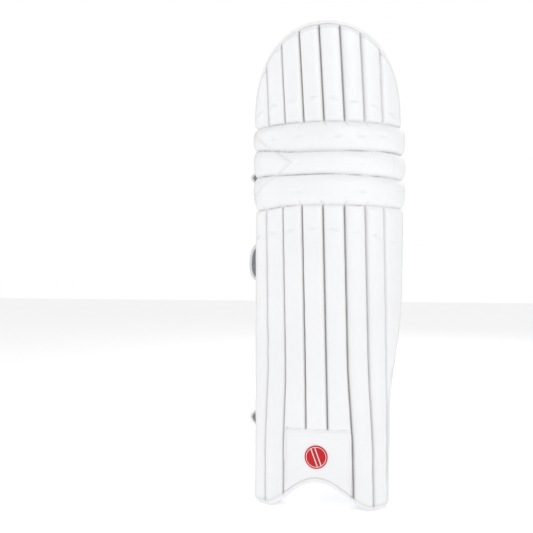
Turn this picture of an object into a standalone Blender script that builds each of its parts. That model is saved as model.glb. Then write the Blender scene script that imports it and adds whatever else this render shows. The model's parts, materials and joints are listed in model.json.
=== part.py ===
"""Batting leg pad for cricket, right leg, standing upright.

Metres, +Z up. The ribbed front face looks towards -Y and the leg goes in from +Y.
The wall is laid out on a curved section: arc is the distance round it from the
leg's centre line, + towards the wing side (+X), and depth runs inwards from the face.
"""
import math

import bmesh
import bpy
from mathutils import Matrix, Vector

# Overall shape
PAD_HEIGHT = 0.700
KNEE_LEVELS = (0.438, 0.482, 0.5145, 0.557)      # seams below, between and above the knee rolls
FACE_Y = -0.0505                                 # foremost line of the face at mid shin
PAD_CENTRE = Vector((0.0020, -0.0063, 0.0))       # middle of the whole pad, from the leg's centre line
END_CURL = 0.005                                 # how far the instep and the dome lean forwards

# Section of the wall
MIDDLE_ARC = 0.078                               # half width of the flatter middle
MIDDLE_RADIUS = (0.170, 0.150)                   # at the ankle, at the knee
SIDE_RADIUS = (0.055, 0.100)
ANKLE_LEVEL, CALF_LEVEL = 0.05, 0.45

# Edges, as arcs
INNER_EDGE = -0.105
WING_EDGE = 0.150
ANKLE_EDGE = 0.116
WING_TAPER = (0.15, 0.31)                        # levels between which the wing narrows
HAT_CENTRE, HAT_HALF_WIDTH = 0.0175, 0.125
HAT_SHOULDER = 0.573                             # level where the dome starts
ARCH_CENTRE, ARCH_HALF_WIDTH, ARCH_RISE = 0.0035, 0.0775, 0.0414
CORNER_RADIUS = 0.012

# Ribs
SHIN_PITCH, HAT_PITCH = 0.0312, 0.0300
GROOVE_COUNT = 7
CROWN = 0.003
GROOVE_DEPTH = 0.007
SHOULDER = 0.0042                                # groove's middle to the rib's shoulder

# Layers, as depths
SKIN = 0.0014
GAP = 0.0006
CANE_BACK = 0.0074
FOAM = (0.0090, 0.0170)
LINING = (0.0176, 0.0192)
LINER = LINING[1] + 0.0010                       # where the rear padding starts
BINDING, EDGE_GAP = 0.0026, 0.0010
PANEL_TOP, PANEL_HALF_WIDTH = 0.1155, 0.0455

# Knee bending
BEND_AXIS_Y = -0.012
BEND_RELIEF = math.tan(math.radians(4.6))
ROLL_CROWN, ROLL_SEAM = 0.0075, 0.003

# Straps: root and tip as (x, y, z), height, length of the plain end
STRAP_CORE, STRAP_FACING, HOOK = 0.0016, 0.0010, 0.0012
STRAPS = {
    "knee": ((0.103, 0.0435, 0.476), (-0.1160, 0.0225, 0.489), 0.032, 0.098, "pointed"),
    "calf": ((0.103, 0.0405, 0.345), (-0.1165, 0.0165, 0.358), 0.060, 0.084, "round"),
    "ankle": ((0.094, 0.0100, 0.106), (-0.1120, 0.0055, 0.122), 0.048, 0.0, "pointed"),
}

for old in list(bpy.data.objects):
    bpy.data.objects.remove(old)


def material(name, colour, roughness):
    made = bpy.data.materials.new(name)
    made.use_nodes = True
    shader = made.node_tree.nodes["Principled BSDF"]
    shader.inputs["Base Color"].default_value = (*colour, 1.0)
    shader.inputs["Roughness"].default_value = roughness
    shader.inputs["Metallic"].default_value = 0.0
    made.diffuse_color = (*colour, 1.0)
    return made


FACE_SKIN = material("white_pu_face", (0.90, 0.90, 0.91), 0.38)
CANE = material("cane_foam_strip", (0.80, 0.72, 0.55), 0.80)
PADDING = material("eva_foam", (0.70, 0.71, 0.73), 0.85)
LINING_CLOTH = material("white_polyester_lining", (0.86, 0.87, 0.90), 0.75)
PIPING = material("white_pu_binding", (0.88, 0.88, 0.89), 0.45)
STRAP_CLOTH = material("strap_webbing", (0.82, 0.82, 0.83), 0.70)
CHECK_LOOP = material("checked_loop_pile", (0.25, 0.26, 0.28), 0.90)
HOOK_TAPE = material("grey_hook_tape", (0.55, 0.56, 0.58), 0.85)
LOOP_TAPE = material("white_loop_tape", (0.84, 0.84, 0.85), 0.90)


# --- frame and joints -------------------------------------------------------------

def empty(name, place, parent=None):
    made = bpy.data.objects.new(name, None)
    bpy.context.collection.objects.link(made)
    if parent:
        made.parent = parent
        place = Vector(place) - world_place(parent)
    made.location = place
    return made


def world_place(holder):
    place = Vector(holder.location)
    while holder.parent:
        holder = holder.parent
        place += holder.location
    return place


PAD = empty("pad_frame", -PAD_CENTRE)


def joint(name, x, y, z, parent):
    return empty(name, Vector((x, y, z)) - PAD_CENTRE, parent)


LOWER_ROLL = joint("lower_roll_hinge", 0, BEND_AXIS_Y, KNEE_LEVELS[0], PAD)
MIDDLE_ROLL = joint("middle_roll_hinge", 0, BEND_AXIS_Y, KNEE_LEVELS[1], LOWER_ROLL)
UPPER_ROLL = joint("upper_roll_hinge", 0, BEND_AXIS_Y, KNEE_LEVELS[2], MIDDLE_ROLL)
HAT = joint("top_hat_hinge", 0, BEND_AXIS_Y, KNEE_LEVELS[3], UPPER_ROLL)
STRAP_HINGES = {
    name: joint(f"{name}_strap_hinge", *STRAPS[name][0], MIDDLE_ROLL if name == "knee" else PAD)
    for name in STRAPS
}


def solid(name, bm, look, holder):
    """Puts a finished mesh, drawn in the pad's own frame, under its holder."""
    bmesh.ops.recalc_face_normals(bm, faces=bm.faces)
    mesh = bpy.data.meshes.new(name)
    bm.to_mesh(mesh)
    bm.free()
    mesh.transform(Matrix.Translation(-PAD_CENTRE - world_place(holder)))
    mesh.materials.append(look)
    mesh.shade_smooth()
    mesh.set_sharp_from_angle(angle=math.radians(35))
    made = bpy.data.objects.new(name, mesh)
    bpy.context.collection.objects.link(made)
    made.parent = holder
    return made


# --- the wall's section ----------------------------------------------------------

def mix(a, b, t):
    return a + (b - a) * t


def smooth(t):
    t = min(max(t, 0.0), 1.0)
    return t * t * (3.0 - 2.0 * t)


def face_y(z):
    """Foremost line of the face: a little forwards at the instep and the dome."""
    low = max(0.0, 1.0 - z / 0.14)
    high = max(0.0, (z - KNEE_LEVELS[3]) / (PAD_HEIGHT - KNEE_LEVELS[3]))
    return FACE_Y - END_CURL * (low * low + high * high)


def wall(arc, z, depth=0.0):
    """The point of the wall at that arc, level and depth."""
    t = min(max((z - ANKLE_LEVEL) / (CALF_LEVEL - ANKLE_LEVEL), 0.0), 1.0)
    middle = mix(*MIDDLE_RADIUS, t)
    side = mix(*SIDE_RADIUS, t)
    reach = min(abs(arc), MIDDLE_ARC)
    turn = reach / middle
    x = middle * math.sin(turn)
    y = middle * (1.0 - math.cos(turn))
    if abs(arc) > MIDDLE_ARC:
        more = turn + (abs(arc) - MIDDLE_ARC) / side
        x += side * (math.sin(more) - math.sin(turn))
        y += side * (math.cos(turn) - math.cos(more))
        turn = more
    x -= depth * math.sin(turn)
    y += depth * math.cos(turn)
    return Vector((math.copysign(x, arc), face_y(z) + y, z))


def wing_edge(z):
    return mix(ANKLE_EDGE, WING_EDGE, smooth((z - WING_TAPER[0]) / (WING_TAPER[1] - WING_TAPER[0])))


def arch(arc):
    """Level of the bottom edge: an arch over the instep between two flat corners."""
    reach = abs(arc - ARCH_CENTRE) / ARCH_HALF_WIDTH
    if reach >= 1.0:
        return 0.0
    return ARCH_RISE * (0.5 + 0.5 * math.cos(math.pi * reach)) ** 0.8


def corner(arc):
    """Rise of the bottom edge at the rounded corners."""
    left = min(max(INNER_EDGE + CORNER_RADIUS - arc, 0.0), CORNER_RADIUS)
    right = min(max(arc - ANKLE_EDGE + CORNER_RADIUS, 0.0), CORNER_RADIUS)
    reach = max(left, right)
    return CORNER_RADIUS - math.sqrt(CORNER_RADIUS ** 2 - reach ** 2)


def shin_bottom(arc):
    return BINDING + EDGE_GAP + arch(arc) + corner(arc)


def dome(arc):
    reach = min(abs(arc - HAT_CENTRE) / HAT_HALF_WIDTH, 1.0)
    return HAT_SHOULDER + (PAD_HEIGHT - BINDING - EDGE_GAP - HAT_SHOULDER) * math.sqrt(1.0 - reach ** 2)


def bend_relief(y):
    """Rise that keeps two neighbours apart behind the bending axis."""
    return GAP / 2 + max(0.0, y - BEND_AXIS_Y) * BEND_RELIEF


def groove(index, z, pitch):
    """Arc of a rib's groove; the ribs lean a little from one end to the other."""
    if z < KNEE_LEVELS[2]:
        lean = (0.27 - z) * 0.021
    else:
        lean = -0.0014 - (z - 0.56) * 0.05
    return (index - (GROOVE_COUNT - 1) / 2 + 0.5) * pitch + lean


def steps(count):
    return [i / count for i in range(count + 1)]


def slab(name, outer, inner, across, along, look, holder):
    """A closed slab between two faces, each given by a point at (u, v)."""
    bm = bmesh.new()
    outside = [[bm.verts.new(outer(u, v)) for u in across] for v in along]
    inside = [[bm.verts.new(inner(u, v)) for u in across] for v in along]
    last, top = len(across) - 1, len(along) - 1
    for j in range(top):
        for i in range(last):
            bm.faces.new((outside[j][i], outside[j][i + 1], outside[j + 1][i + 1], outside[j + 1][i]))
            bm.faces.new((inside[j][i], inside[j + 1][i], inside[j + 1][i + 1], inside[j][i + 1]))
        for i in (0, last):
            bm.faces.new((outside[j][i], outside[j + 1][i], inside[j + 1][i], inside[j][i]))
    for i in range(last):
        for j in (0, top):
            bm.faces.new((outside[j][i], inside[j][i], inside[j][i + 1], outside[j][i + 1]))
    return solid(name, bm, look, holder)


def rib_columns(z, left, right, pitch):
    """Columns of a ribbed cover at a level, as (arc, depth): grooves, shoulders and crowns."""
    lines = [left] + [groove(i, z, pitch) for i in range(GROOVE_COUNT)] + [right]
    lines[-2] = min(lines[-2], right - 0.005)
    columns = []
    for i, (start, end) in enumerate(zip(lines, lines[1:])):
        shoulder = min(SHOULDER, 0.3 * (end - start))
        columns.append((start, GROOVE_DEPTH if i else 0.0))
        columns.append((start + shoulder, 0.0))
        columns.append(((start + end) / 2, -CROWN * min(1.0, (end - start) / 0.015)))
        columns.append((end - shoulder, 0.0))
    columns.append((right, 0.0))
    return columns


def settle(arc_at, level_at):
    """Arc and level where a leaning line meets an edge whose level depends on the arc."""
    z = KNEE_LEVELS[1]
    for _ in range(6):
        arc = arc_at(z)
        z = level_at(arc)
    return arc, z


def shin_top(arc, depth=0.0):
    return KNEE_LEVELS[0] - bend_relief(wall(arc, KNEE_LEVELS[0], depth).y)


def in_panel(arc, z):
    return abs(arc - ARCH_CENTRE) < PANEL_HALF_WIDTH + 0.002 and z < PANEL_TOP + 0.001


SHIN_ROWS = (0.075, PANEL_TOP + 0.0005, 0.16, 0.195, 0.23, 0.265, 0.31, 0.36)
PANEL_STEP = PANEL_TOP + 0.0016


def shin_row(j, rows, depth=0.0):
    """Level of row j as a function of arc: the arched bottom, the fixed rows, the top."""
    if j == 0:
        return shin_bottom
    if j > len(rows):
        return lambda arc: shin_top(arc, depth)
    return lambda arc: rows[j - 1]


def shin_cover():
    """Ribbed skin from the instep to the knee; it steps back under the instep panel."""
    rows = sorted(SHIN_ROWS + (PANEL_STEP,))

    def at(extra):
        def point(u, v):
            def arc_at(z):
                return rib_columns(z, INNER_EDGE, wing_edge(z), SHIN_PITCH)[u][0]
            arc, z = settle(arc_at, shin_row(v, rows))
            depth = rib_columns(z, INNER_EDGE, wing_edge(z), SHIN_PITCH)[u][1]
            if in_panel(arc, z):
                depth = GROOVE_DEPTH
            return wall(arc, z, depth + extra)
        return point
    count = len(rib_columns(0.2, INNER_EDGE, WING_EDGE, SHIN_PITCH))
    slab("shin_cover", at(0.0), at(SKIN), range(count), range(len(rows) + 2), FACE_SKIN, PAD)


def cane(name, start, end, low, high, holder):
    """A flat-backed strip of stiffener under a rib: start(z) and end(z) are its grooves."""
    side = 0.0056
    profile = ((0.0, CANE_BACK), (0.0, 0.0040), (0.16, 0.0026), (0.5, 0.0006),
               (0.84, 0.0026), (1.0, 0.0040), (1.0, CANE_BACK))
    bm = bmesh.new()
    rings = []
    for v in steps(5):
        ring = []
        for across, depth in profile:
            arc, z = settle(lambda z: mix(start(z) + side, end(z) - side, across),
                            lambda arc: mix(low(arc), high(arc), v))
            ring.append(bm.verts.new(wall(arc, z, depth)))
        rings.append(ring)
    tube(bm, rings)
    solid(name, bm, CANE, holder)


def tube(bm, rings):
    """Joins rings of vertices into one closed tube."""
    count = len(rings[0])
    for lower, upper in zip(rings, rings[1:]):
        for i in range(count):
            k = (i + 1) % count
            bm.faces.new((lower[i], lower[k], upper[k], upper[i]))
    bm.faces.new(rings[0])
    bm.faces.new(list(reversed(rings[-1])))


CANE_END = 0.005


def shin_canes():
    def line(index):
        if index < 0:
            return lambda z: INNER_EDGE - 0.002
        return lambda z: min(groove(index, z, SHIN_PITCH), wing_edge(z) - 0.005)
    for k in range(GROOVE_COUNT):
        behind_panel = 2 <= k <= 4

        def low(arc, raised=behind_panel):
            return (PANEL_TOP if raised else shin_bottom(arc)) + CANE_END
        cane(f"shin_cane_{k + 1}", line(k - 1), line(k), low, lambda arc: shin_top(arc) - CANE_END, PAD)


# --- shin ------------------------------------------------------------------------

def shin_layers():
    """Backing foam and lining: smooth sheets behind the canes."""
    for name, depths, look in (("shin_foam", FOAM, PADDING), ("shin_lining", LINING, LINING_CLOTH)):
        def at(depth):
            def point(u, v):
                arc, z = settle(lambda z: mix(INNER_EDGE, wing_edge(z), u),
                                shin_row(v, SHIN_ROWS, depths[1]))
                return wall(arc, z, depth)
            return point
        slab(name, at(depths[0]), at(depths[1]), steps(18), range(len(SHIN_ROWS) + 2), look, PAD)


def wing_foam():
    """Soft strip that fills the wing's outermost rib."""
    def at(depth):
        def point(u, v):
            arc, z = settle(lambda z: mix(groove(6, z, SHIN_PITCH) + 0.0056, wing_edge(z) - 0.003, u),
                            lambda arc: mix(0.205, shin_top(arc) - CANE_END, v))
            return wall(arc, z, depth)
        return point
    slab("shin_wing_foam", at(0.0046), at(CANE_BACK), steps(3), steps(7), PADDING, PAD)


def instep_panel():
    """Padded panel let into the face above the arch."""
    left, right = ARCH_CENTRE - PANEL_HALF_WIDTH, ARCH_CENTRE + PANEL_HALF_WIDTH

    def at(front):
        def point(u, v):
            arc = mix(left, right, u)
            z = mix(shin_bottom(arc) + 0.0005, PANEL_TOP, v)
            swell = smooth(min(u, 1.0 - u, v * 0.8, (1.0 - v) * 0.8) / 0.14)
            depth = mix(0.004, -0.0032, swell) if front else GROOVE_DEPTH - 2 * GAP
            return wall(arc, z, depth)
        return point
    across = (0.0, 0.07, 0.15, 0.3, 0.5, 0.7, 0.85, 0.93, 1.0)
    slab("instep_panel", at(True), at(False), across, (0.0, 0.1, 0.22, 0.5, 0.78, 0.9, 1.0),
         FACE_SKIN, PAD)


def binding(name, outline, holder, front=-0.0012, rear=LINING[1]):
    """Folded tape round an edge, along an outline of (arc, z) points."""
    bm = bmesh.new()
    rings = []
    for i, (arc, z) in enumerate(outline):
        before = outline[max(i - 1, 0)]
        after = outline[min(i + 1, len(outline) - 1)]
        run = Vector((after[0] - before[0], after[1] - before[1])).normalized()
        out = Vector((run.y, -run.x))
        ring = []
        for reach, depth in ((EDGE_GAP, front), (EDGE_GAP + BINDING, front + 0.001),
                             (EDGE_GAP + BINDING, rear - 0.001), (EDGE_GAP, rear)):
            point = wall(arc + out.x * reach, max(z + out.y * reach, 0.0), depth)
            ring.append(bm.verts.new(point))
        rings.append(ring)
    tube(bm, rings)
    solid(name, bm, PIPING, holder)


def shin_binding():
    """Down the inner edge, round the arch and up the wing's edge."""
    levels = [0.428] + [z for z in reversed(SHIN_ROWS)] + [0.045, 0.022]
    side = [(INNER_EDGE, z) for z in levels]
    inset = [CORNER_RADIUS * (1.0 - math.cos(math.radians(a))) for a in (8, 30, 52, 72)]
    arcs = [INNER_EDGE + d for d in inset] + [INNER_EDGE + CORNER_RADIUS, -0.083, -0.075]
    arcs += [ARCH_CENTRE + ARCH_HALF_WIDTH * t for t in
             (-0.88, -0.72, -0.55, -0.38, -0.2, 0.0, 0.2, 0.38, 0.55, 0.72, 0.88)]
    arcs += [0.081, 0.090, ANKLE_EDGE - CORNER_RADIUS] + [ANKLE_EDGE - d for d in reversed(inset)]
    bottom = [(arc, shin_bottom(arc)) for arc in arcs]
    wing = [(wing_edge(z), z) for z in reversed(levels)]
    binding("shin_binding", side + bottom + wing, PAD)


# --- rear padding of the shin ------------------------------------------------------

def crowded(count):
    """Steps from 0 to 1 that lie closer together towards both ends."""
    return [0.5 - 0.5 * math.cos(math.pi * t) for t in steps(count)]


def bolster(name, edges, levels, rear, holder, lift=lambda z: 0.0, across=8, rows=8, ends=0.16):
    """A stuffed roll on the lining. rear(arc) is how far its back stands off the lining;
    lift(z) is the room left between its front and the lining. Gives its back face."""
    def place(u, v):
        nominal = mix(levels(edges(0.3)[0])[0], levels(edges(0.3)[0])[1], v)
        arc = mix(*edges(nominal), u)
        return arc, mix(*levels(arc), v)

    def front(u, v):
        arc, z = place(u, v)
        return wall(arc, z, LINER) + Vector((0, lift(z), 0))

    def back(u, v, proud=0.0):
        arc, z = place(u, v)
        side = math.sqrt(max(0.0, 1.0 - abs(2.0 * u - 1.0) ** 3.2))
        end = math.sqrt(max(0.0, 1.0 - max(0.0, 1.0 - min(v, 1.0 - v) / ends) ** 2.4))
        thick = mix(0.004, rear(arc), side * end)
        return wall(arc, z, LINER) + Vector((0, max(lift(z) + 0.003, thick) + proud, 0))
    slab(name, front, back, crowded(across), crowded(rows), LINING_CLOTH, holder)
    return back


def loop_patch(name, back, across, up, holder):
    """Loop tape sewn on the back of a bolster, where a strap's hook patch lies."""
    def at(proud):
        return lambda u, v: back(mix(*across, u), mix(*up, v), proud)
    slab(name, at(0.0008), at(0.0020), steps(3), steps(3), LOOP_TAPE, holder)


def shin_bolsters():
    """Rolls either side of the shin, a narrow one along the wing and a pad down the middle."""
    def calf(arc):
        return 0.149, 0.430

    def crest(arc):
        return 0.033 - 0.08 * (abs(arc) - 0.05)

    def seam(z):
        return mix(0.092, 0.097, smooth((z - 0.16) / 0.15))
    bolster("calf_bolster_wing", lambda z: (0.020, seam(z)), calf, crest, PAD)
    back = bolster("calf_bolster_inner", lambda z: (-0.101, -0.020), calf, crest, PAD)
    loop_patch("calf_loop_patch", back, (0.22, 0.52), (0.62, 0.84), PAD)
    bolster("wing_bolster", lambda z: (seam(z) + 0.0025, wing_edge(z) - 0.003),
            lambda arc: (0.170, 0.430), lambda arc: 0.013, PAD, across=4)
    bolster("centre_shin_pad", lambda z: (-0.0172, 0.0172),
            lambda arc: (0.120, 0.430), lambda arc: 0.010, PAD, across=4, rows=6, ends=0.05)


def ankle_pads():
    """Flat pads under the ankle strap, down to the pad's standing edge."""
    def levels(arc):
        return arch(arc) + corner(arc), 0.144

    def pad(name, left, right):
        def at(thick):
            def point(u, v, proud=0.0):
                arc = mix(left, right, u)
                swell = smooth(min(u, 1.0 - u, 0.9 * (1.0 - v) + 0.02) / 0.12)
                back = LINER + (mix(0.004, thick, swell) if thick else 0.0)
                return wall(arc, mix(*levels(arc), v), back) + Vector((0, proud, 0))
            return point
        slab(name, at(0.0), at(0.013), (0.0, 0.06, 0.14, 0.32, 0.5, 0.68, 0.86, 0.94, 1.0),
             (0.0, 0.06, 0.3, 0.6, 0.86, 0.94, 1.0), LINING_CLOTH, PAD)
        return at(0.013)
    pad("ankle_pad_wing", 0.026, ANKLE_EDGE - 0.004)
    back = pad("ankle_pad_inner", INNER_EDGE + 0.004, -0.022)
    loop_patch("ankle_loop_patch", back, (0.22, 0.62), (0.60, 0.82), PAD)


# --- knee rolls --------------------------------------------------------------------

def roll_crown(arc):
    """How far a roll stands proud of the wall: almost nothing at the pad's two edges."""
    inside = min(arc - INNER_EDGE, WING_EDGE - arc) / 0.030
    return mix(0.0008, ROLL_CROWN, smooth(inside))


def knee_roll(name, low, high, holder):
    """A crowned skin over a foam core, reaching from edge to edge."""
    rows = (0.0, 0.10, 0.3, 0.7, 0.90, 1.0)
    across = (0.0, 0.025, 0.06, 0.1, 0.16, 0.23, 0.3, 0.37, 0.44, 0.51, 0.58, 0.65, 0.72, 0.79,
              0.86, 0.91, 0.95, 0.98, 1.0)

    def point(depth_at):
        def at(u, v):
            arc = mix(INNER_EDGE, WING_EDGE, u)
            depth = depth_at(arc, v)
            relief = bend_relief(wall(arc, mix(low, high, 0.5), depth).y)
            return wall(arc, mix(low + relief, high - relief, v), depth)
        return at

    def bulge(arc, v):
        crest = math.sqrt(max(0.0, 1.0 - abs(2 * v - 1) ** 2.6))
        return mix(ROLL_SEAM, -roll_crown(arc), crest)
    slab(f"{name}_cover", point(bulge), point(lambda arc, v: bulge(arc, v) + SKIN), across, rows,
         FACE_SKIN, holder)
    slab(f"{name}_core", point(lambda arc, v: bulge(arc, v) + SKIN + GAP),
         point(lambda arc, v: LINING[1]), across, rows, PADDING, holder)


def knee_flap():
    """Pointed end of the inner side's reinforcement, stitched over the rolls."""
    tip, apex, half = -0.0300, 0.499, 0.047

    def at(proud):
        def point(u, v):
            z = apex + half * (2.0 * v - 1.0)
            reach = 1.0 - abs(2.0 * v - 1.0)
            arc = mix(INNER_EDGE + 0.002, mix(INNER_EDGE + 0.008, tip, reach), u)
            return wall(arc, z, -roll_crown(arc) - proud)
        return point
    slab("knee_flap", at(0.0030), at(0.0016), steps(12), steps(10), FACE_SKIN, MIDDLE_ROLL)


def knee_rear():
    """Side bolsters and the locator pad between them, all carried by the middle roll."""
    middle = (KNEE_LEVELS[1] + KNEE_LEVELS[2]) / 2
    half = (KNEE_LEVELS[2] - KNEE_LEVELS[1]) / 2

    def lift(z):
        return max(0.0, abs(z - middle) - half + 0.004) * math.tan(math.radians(9.5))

    def outward(arc):
        return min(max((abs(arc) - 0.03) / 0.11, 0.0), 1.0)

    def levels(arc):
        return 0.444, mix(0.553, 0.542, outward(arc))
    bolster("knee_bolster_wing", lambda z: (0.030, WING_EDGE - 0.004), levels,
            lambda arc: mix(0.044, 0.024, smooth(outward(arc))), MIDDLE_ROLL, lift, ends=0.10)
    back = bolster("knee_bolster_inner", lambda z: (INNER_EDGE + 0.003, -0.022), levels,
                   lambda arc: mix(0.041, 0.026, smooth(outward(arc))), MIDDLE_ROLL, lift, ends=0.10)
    loop_patch("knee_loop_patch", back, (0.22, 0.52), (0.27, 0.50), MIDDLE_ROLL)
    bolster("knee_locator", lambda z: (-0.0190, 0.0268), lambda arc: (0.444, 0.551),
            lambda arc: 0.017, MIDDLE_ROLL, lift, across=5, ends=0.08)


# --- top hat ---------------------------------------------------------------------

def hat_bottom(arc, depth=0.0):
    return KNEE_LEVELS[3] + bend_relief(wall(arc, KNEE_LEVELS[3], depth).y)


def hat_edges():
    return HAT_CENTRE - HAT_HALF_WIDTH, HAT_CENTRE + HAT_HALF_WIDTH


def top_hat():
    """Ribbed dome above the knee: skin, canes, foam and lining."""
    left, right = hat_edges()
    rows = (0.0, 0.25, 0.55, 0.8, 1.0)

    def at(extra):
        def point(u, v):
            def arc_at(z):
                return rib_columns(z, left, right, HAT_PITCH)[u][0]
            arc, z = settle(arc_at, lambda arc: mix(hat_bottom(arc), dome(arc), v))
            return wall(arc, z, rib_columns(z, left, right, HAT_PITCH)[u][1] + extra)
        return point
    count = len(rib_columns(KNEE_LEVELS[3], left, right, HAT_PITCH))
    slab("hat_cover", at(0.0), at(SKIN), range(count), rows, FACE_SKIN, HAT)
    for name, depths, look in (("hat_foam", FOAM, PADDING), ("hat_lining", LINING, LINING_CLOTH)):
        def layer(depth):
            def point(u, v):
                arc = mix(left, right, u)
                return wall(arc, mix(hat_bottom(arc, depths[1]), dome(arc), v), depth)
            return point
        slab(name, layer(depths[0]), layer(depths[1]), crowded(18), rows, look, HAT)
    for k in range(GROOVE_COUNT):
        def start(z, index=k - 1):
            return left + 0.006 if index < 0 else groove(index, z, HAT_PITCH)

        def end(z, index=k):
            return groove(index, z, HAT_PITCH)
        cane(f"hat_cane_{k + 1}", start, end, lambda arc: hat_bottom(arc) + CANE_END,
             lambda arc: dome(arc) - 0.008, HAT)
    outline = [(right, hat_bottom(right, LINING[1]) + 0.001), (right, HAT_SHOULDER)]
    for i in range(1, 26):
        turn = math.pi * i / 26
        arc = HAT_CENTRE + HAT_HALF_WIDTH * math.cos(turn)
        outline.append((arc, dome(arc)))
    outline += [(left, HAT_SHOULDER), (left, hat_bottom(left, LINING[1]) + 0.001)]
    binding("hat_binding", outline, HAT)


# --- straps ----------------------------------------------------------------------

def tip_outline(start, end, low, high, shape):
    """Outline of a strap piece as (along, up) points, ending in a round or pointed tip."""
    half = (high - low) / 2
    middle = (high + low) / 2
    points = [(start, low), (start, high)]
    reach = half * (1.5 if shape == "pointed" else 0.62)
    bulge = 1.5 if shape == "pointed" else 2.4
    for i in range(9):
        turn = math.pi / 2 - math.pi * i / 8
        up = math.copysign(abs(math.sin(turn)) ** (2 / bulge), math.sin(turn)) * half
        along = abs(math.cos(turn)) ** (2 / bulge) * reach
        points.append((end - reach + along, middle + up))
    return points


def strap_piece(name, strap, outline, near, far, look, holder):
    """A flat piece of a strap between two distances behind the core's front."""
    root, tip = Vector(STRAPS[strap][0]), Vector(STRAPS[strap][1])
    along = (tip - root).normalized()
    rear = Vector((-along.y, along.x, 0)).normalized()
    if rear.y < 0:
        rear = -rear
    up = along.cross(rear)
    if up.z < 0:
        up = -up
    bm = bmesh.new()
    rings = []
    for distance in (near, far):
        rings.append([bm.verts.new(root + along * a + up * h + rear * distance) for a, h in outline])
    bm.faces.new(rings[0])
    bm.faces.new(list(reversed(rings[1])))
    for i in range(len(outline)):
        k = (i + 1) % len(outline)
        bm.faces.new((rings[0][i], rings[1][i], rings[1][k], rings[0][k]))
    solid(name, bm, look, holder)


def strap(name, carrier):
    """Anchor tab on the wing side, webbing core, checked loop face, plain tip and hook patch."""
    root, tip, height, plain, shape = STRAPS[name]
    holder = STRAP_HINGES[name]
    length = (Vector(tip) - Vector(root)).length
    half = height / 2
    core = (-STRAP_CORE / 2, STRAP_CORE / 2)
    anchor = (core[0] - 0.0008 - STRAP_CORE, core[0] - 0.0008)
    tab = [(-0.009, -half), (-0.009, half), (0.012, half), (0.012, -half)]
    strap_piece(f"{name}_strap_anchor", name, tab, *anchor, FACE_SKIN, carrier)
    face = (STRAP_CORE / 2 + 0.0004, STRAP_CORE / 2 + 0.0004 + STRAP_FACING)
    strap_piece(f"{name}_strap_core", name, tip_outline(0.002, length, -half, half, shape),
                *core, STRAP_CLOTH, holder)
    low, high = -half + 0.003, half - 0.003
    if plain:
        split = length - plain
        check = [(0.006, low), (0.006, high), (split, high), (split, low)]
        strap_piece(f"{name}_strap_check", name, check, *face, CHECK_LOOP, holder)
        strap_piece(f"{name}_strap_tip", name,
                    tip_outline(split + 0.0006, length - 0.0012, -half + 0.0008, half - 0.0008, shape),
                    *face, FACE_SKIN, holder)
    else:
        check = tip_outline(0.006, length - 0.003, low, high, shape)
        strap_piece(f"{name}_strap_check", name, check, *face, CHECK_LOOP, holder)
    hook = (-STRAP_CORE / 2 - 0.0004 - HOOK, -STRAP_CORE / 2 - 0.0004)
    strap_piece(f"{name}_strap_hook", name,
                tip_outline(length - 0.080, length - 0.004, -half + 0.004, half - 0.004, shape),
                *hook, HOOK_TAPE, holder)


def main():
    shin_cover()
    shin_canes()
    wing_foam()
    shin_layers()
    instep_panel()
    shin_binding()
    shin_bolsters()
    ankle_pads()
    knee_roll("lower_roll", KNEE_LEVELS[0], KNEE_LEVELS[1], LOWER_ROLL)
    knee_roll("middle_roll", KNEE_LEVELS[1], KNEE_LEVELS[2], MIDDLE_ROLL)
    knee_roll("upper_roll", KNEE_LEVELS[2], KNEE_LEVELS[3], UPPER_ROLL)
    knee_flap()
    knee_rear()
    top_hat()
    strap("knee", MIDDLE_ROLL)
    strap("calf", PAD)
    strap("ankle", PAD)


main()
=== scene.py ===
"""Looks of a cricket batting leg pad for the right leg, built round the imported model.

Metres, +Z up. arc is the distance round the pad's curved section from the leg's
centre line, + towards the wing at +X, and depth runs inwards from the face.
"""
import json
import math

import bpy
import numpy as np
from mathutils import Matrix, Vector


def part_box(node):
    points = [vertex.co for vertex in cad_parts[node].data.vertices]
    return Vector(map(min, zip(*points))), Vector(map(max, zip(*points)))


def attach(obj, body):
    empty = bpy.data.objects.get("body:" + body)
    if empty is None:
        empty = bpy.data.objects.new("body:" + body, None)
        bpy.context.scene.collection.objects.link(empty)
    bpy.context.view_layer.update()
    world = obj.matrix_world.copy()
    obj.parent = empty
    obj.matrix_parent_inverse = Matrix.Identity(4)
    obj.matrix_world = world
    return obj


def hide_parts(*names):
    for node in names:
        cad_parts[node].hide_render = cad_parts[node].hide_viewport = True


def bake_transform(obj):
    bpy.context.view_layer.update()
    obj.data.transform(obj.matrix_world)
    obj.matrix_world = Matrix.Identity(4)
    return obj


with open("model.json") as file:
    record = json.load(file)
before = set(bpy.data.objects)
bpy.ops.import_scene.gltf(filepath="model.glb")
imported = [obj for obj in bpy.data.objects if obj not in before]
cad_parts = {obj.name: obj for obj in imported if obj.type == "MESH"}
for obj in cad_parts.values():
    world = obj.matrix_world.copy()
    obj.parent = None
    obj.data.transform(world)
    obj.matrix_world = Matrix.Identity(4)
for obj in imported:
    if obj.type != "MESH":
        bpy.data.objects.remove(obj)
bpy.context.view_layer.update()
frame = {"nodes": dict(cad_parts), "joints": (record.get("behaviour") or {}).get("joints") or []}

# --- Ribbed shin face ---------------------------------------------------------------
# White polyurethane leathercloth, stitched down in seven lines over strips of cane,
# so that it stands up in soft ribs. It is bent round the shin with all that is behind it.
LEG_CENTRE = np.array((-0.0020, 0.0063, 0.0))       # leg's centre line in the model's frame
SEAMS = [joint["pos_m"][2] for joint in frame["joints"][:4]]     # below, between, above the rolls
MIDDLE_ARC = 0.078                                  # the section turns tighter beyond it
INNER_EDGE, WING_EDGE, ANKLE_EDGE = -0.1075, 0.154, 0.1225
HAT_CENTRE, HAT_HALF_WIDTH, HAT_SHOULDER = 0.0175, 0.128, 0.573
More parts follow.
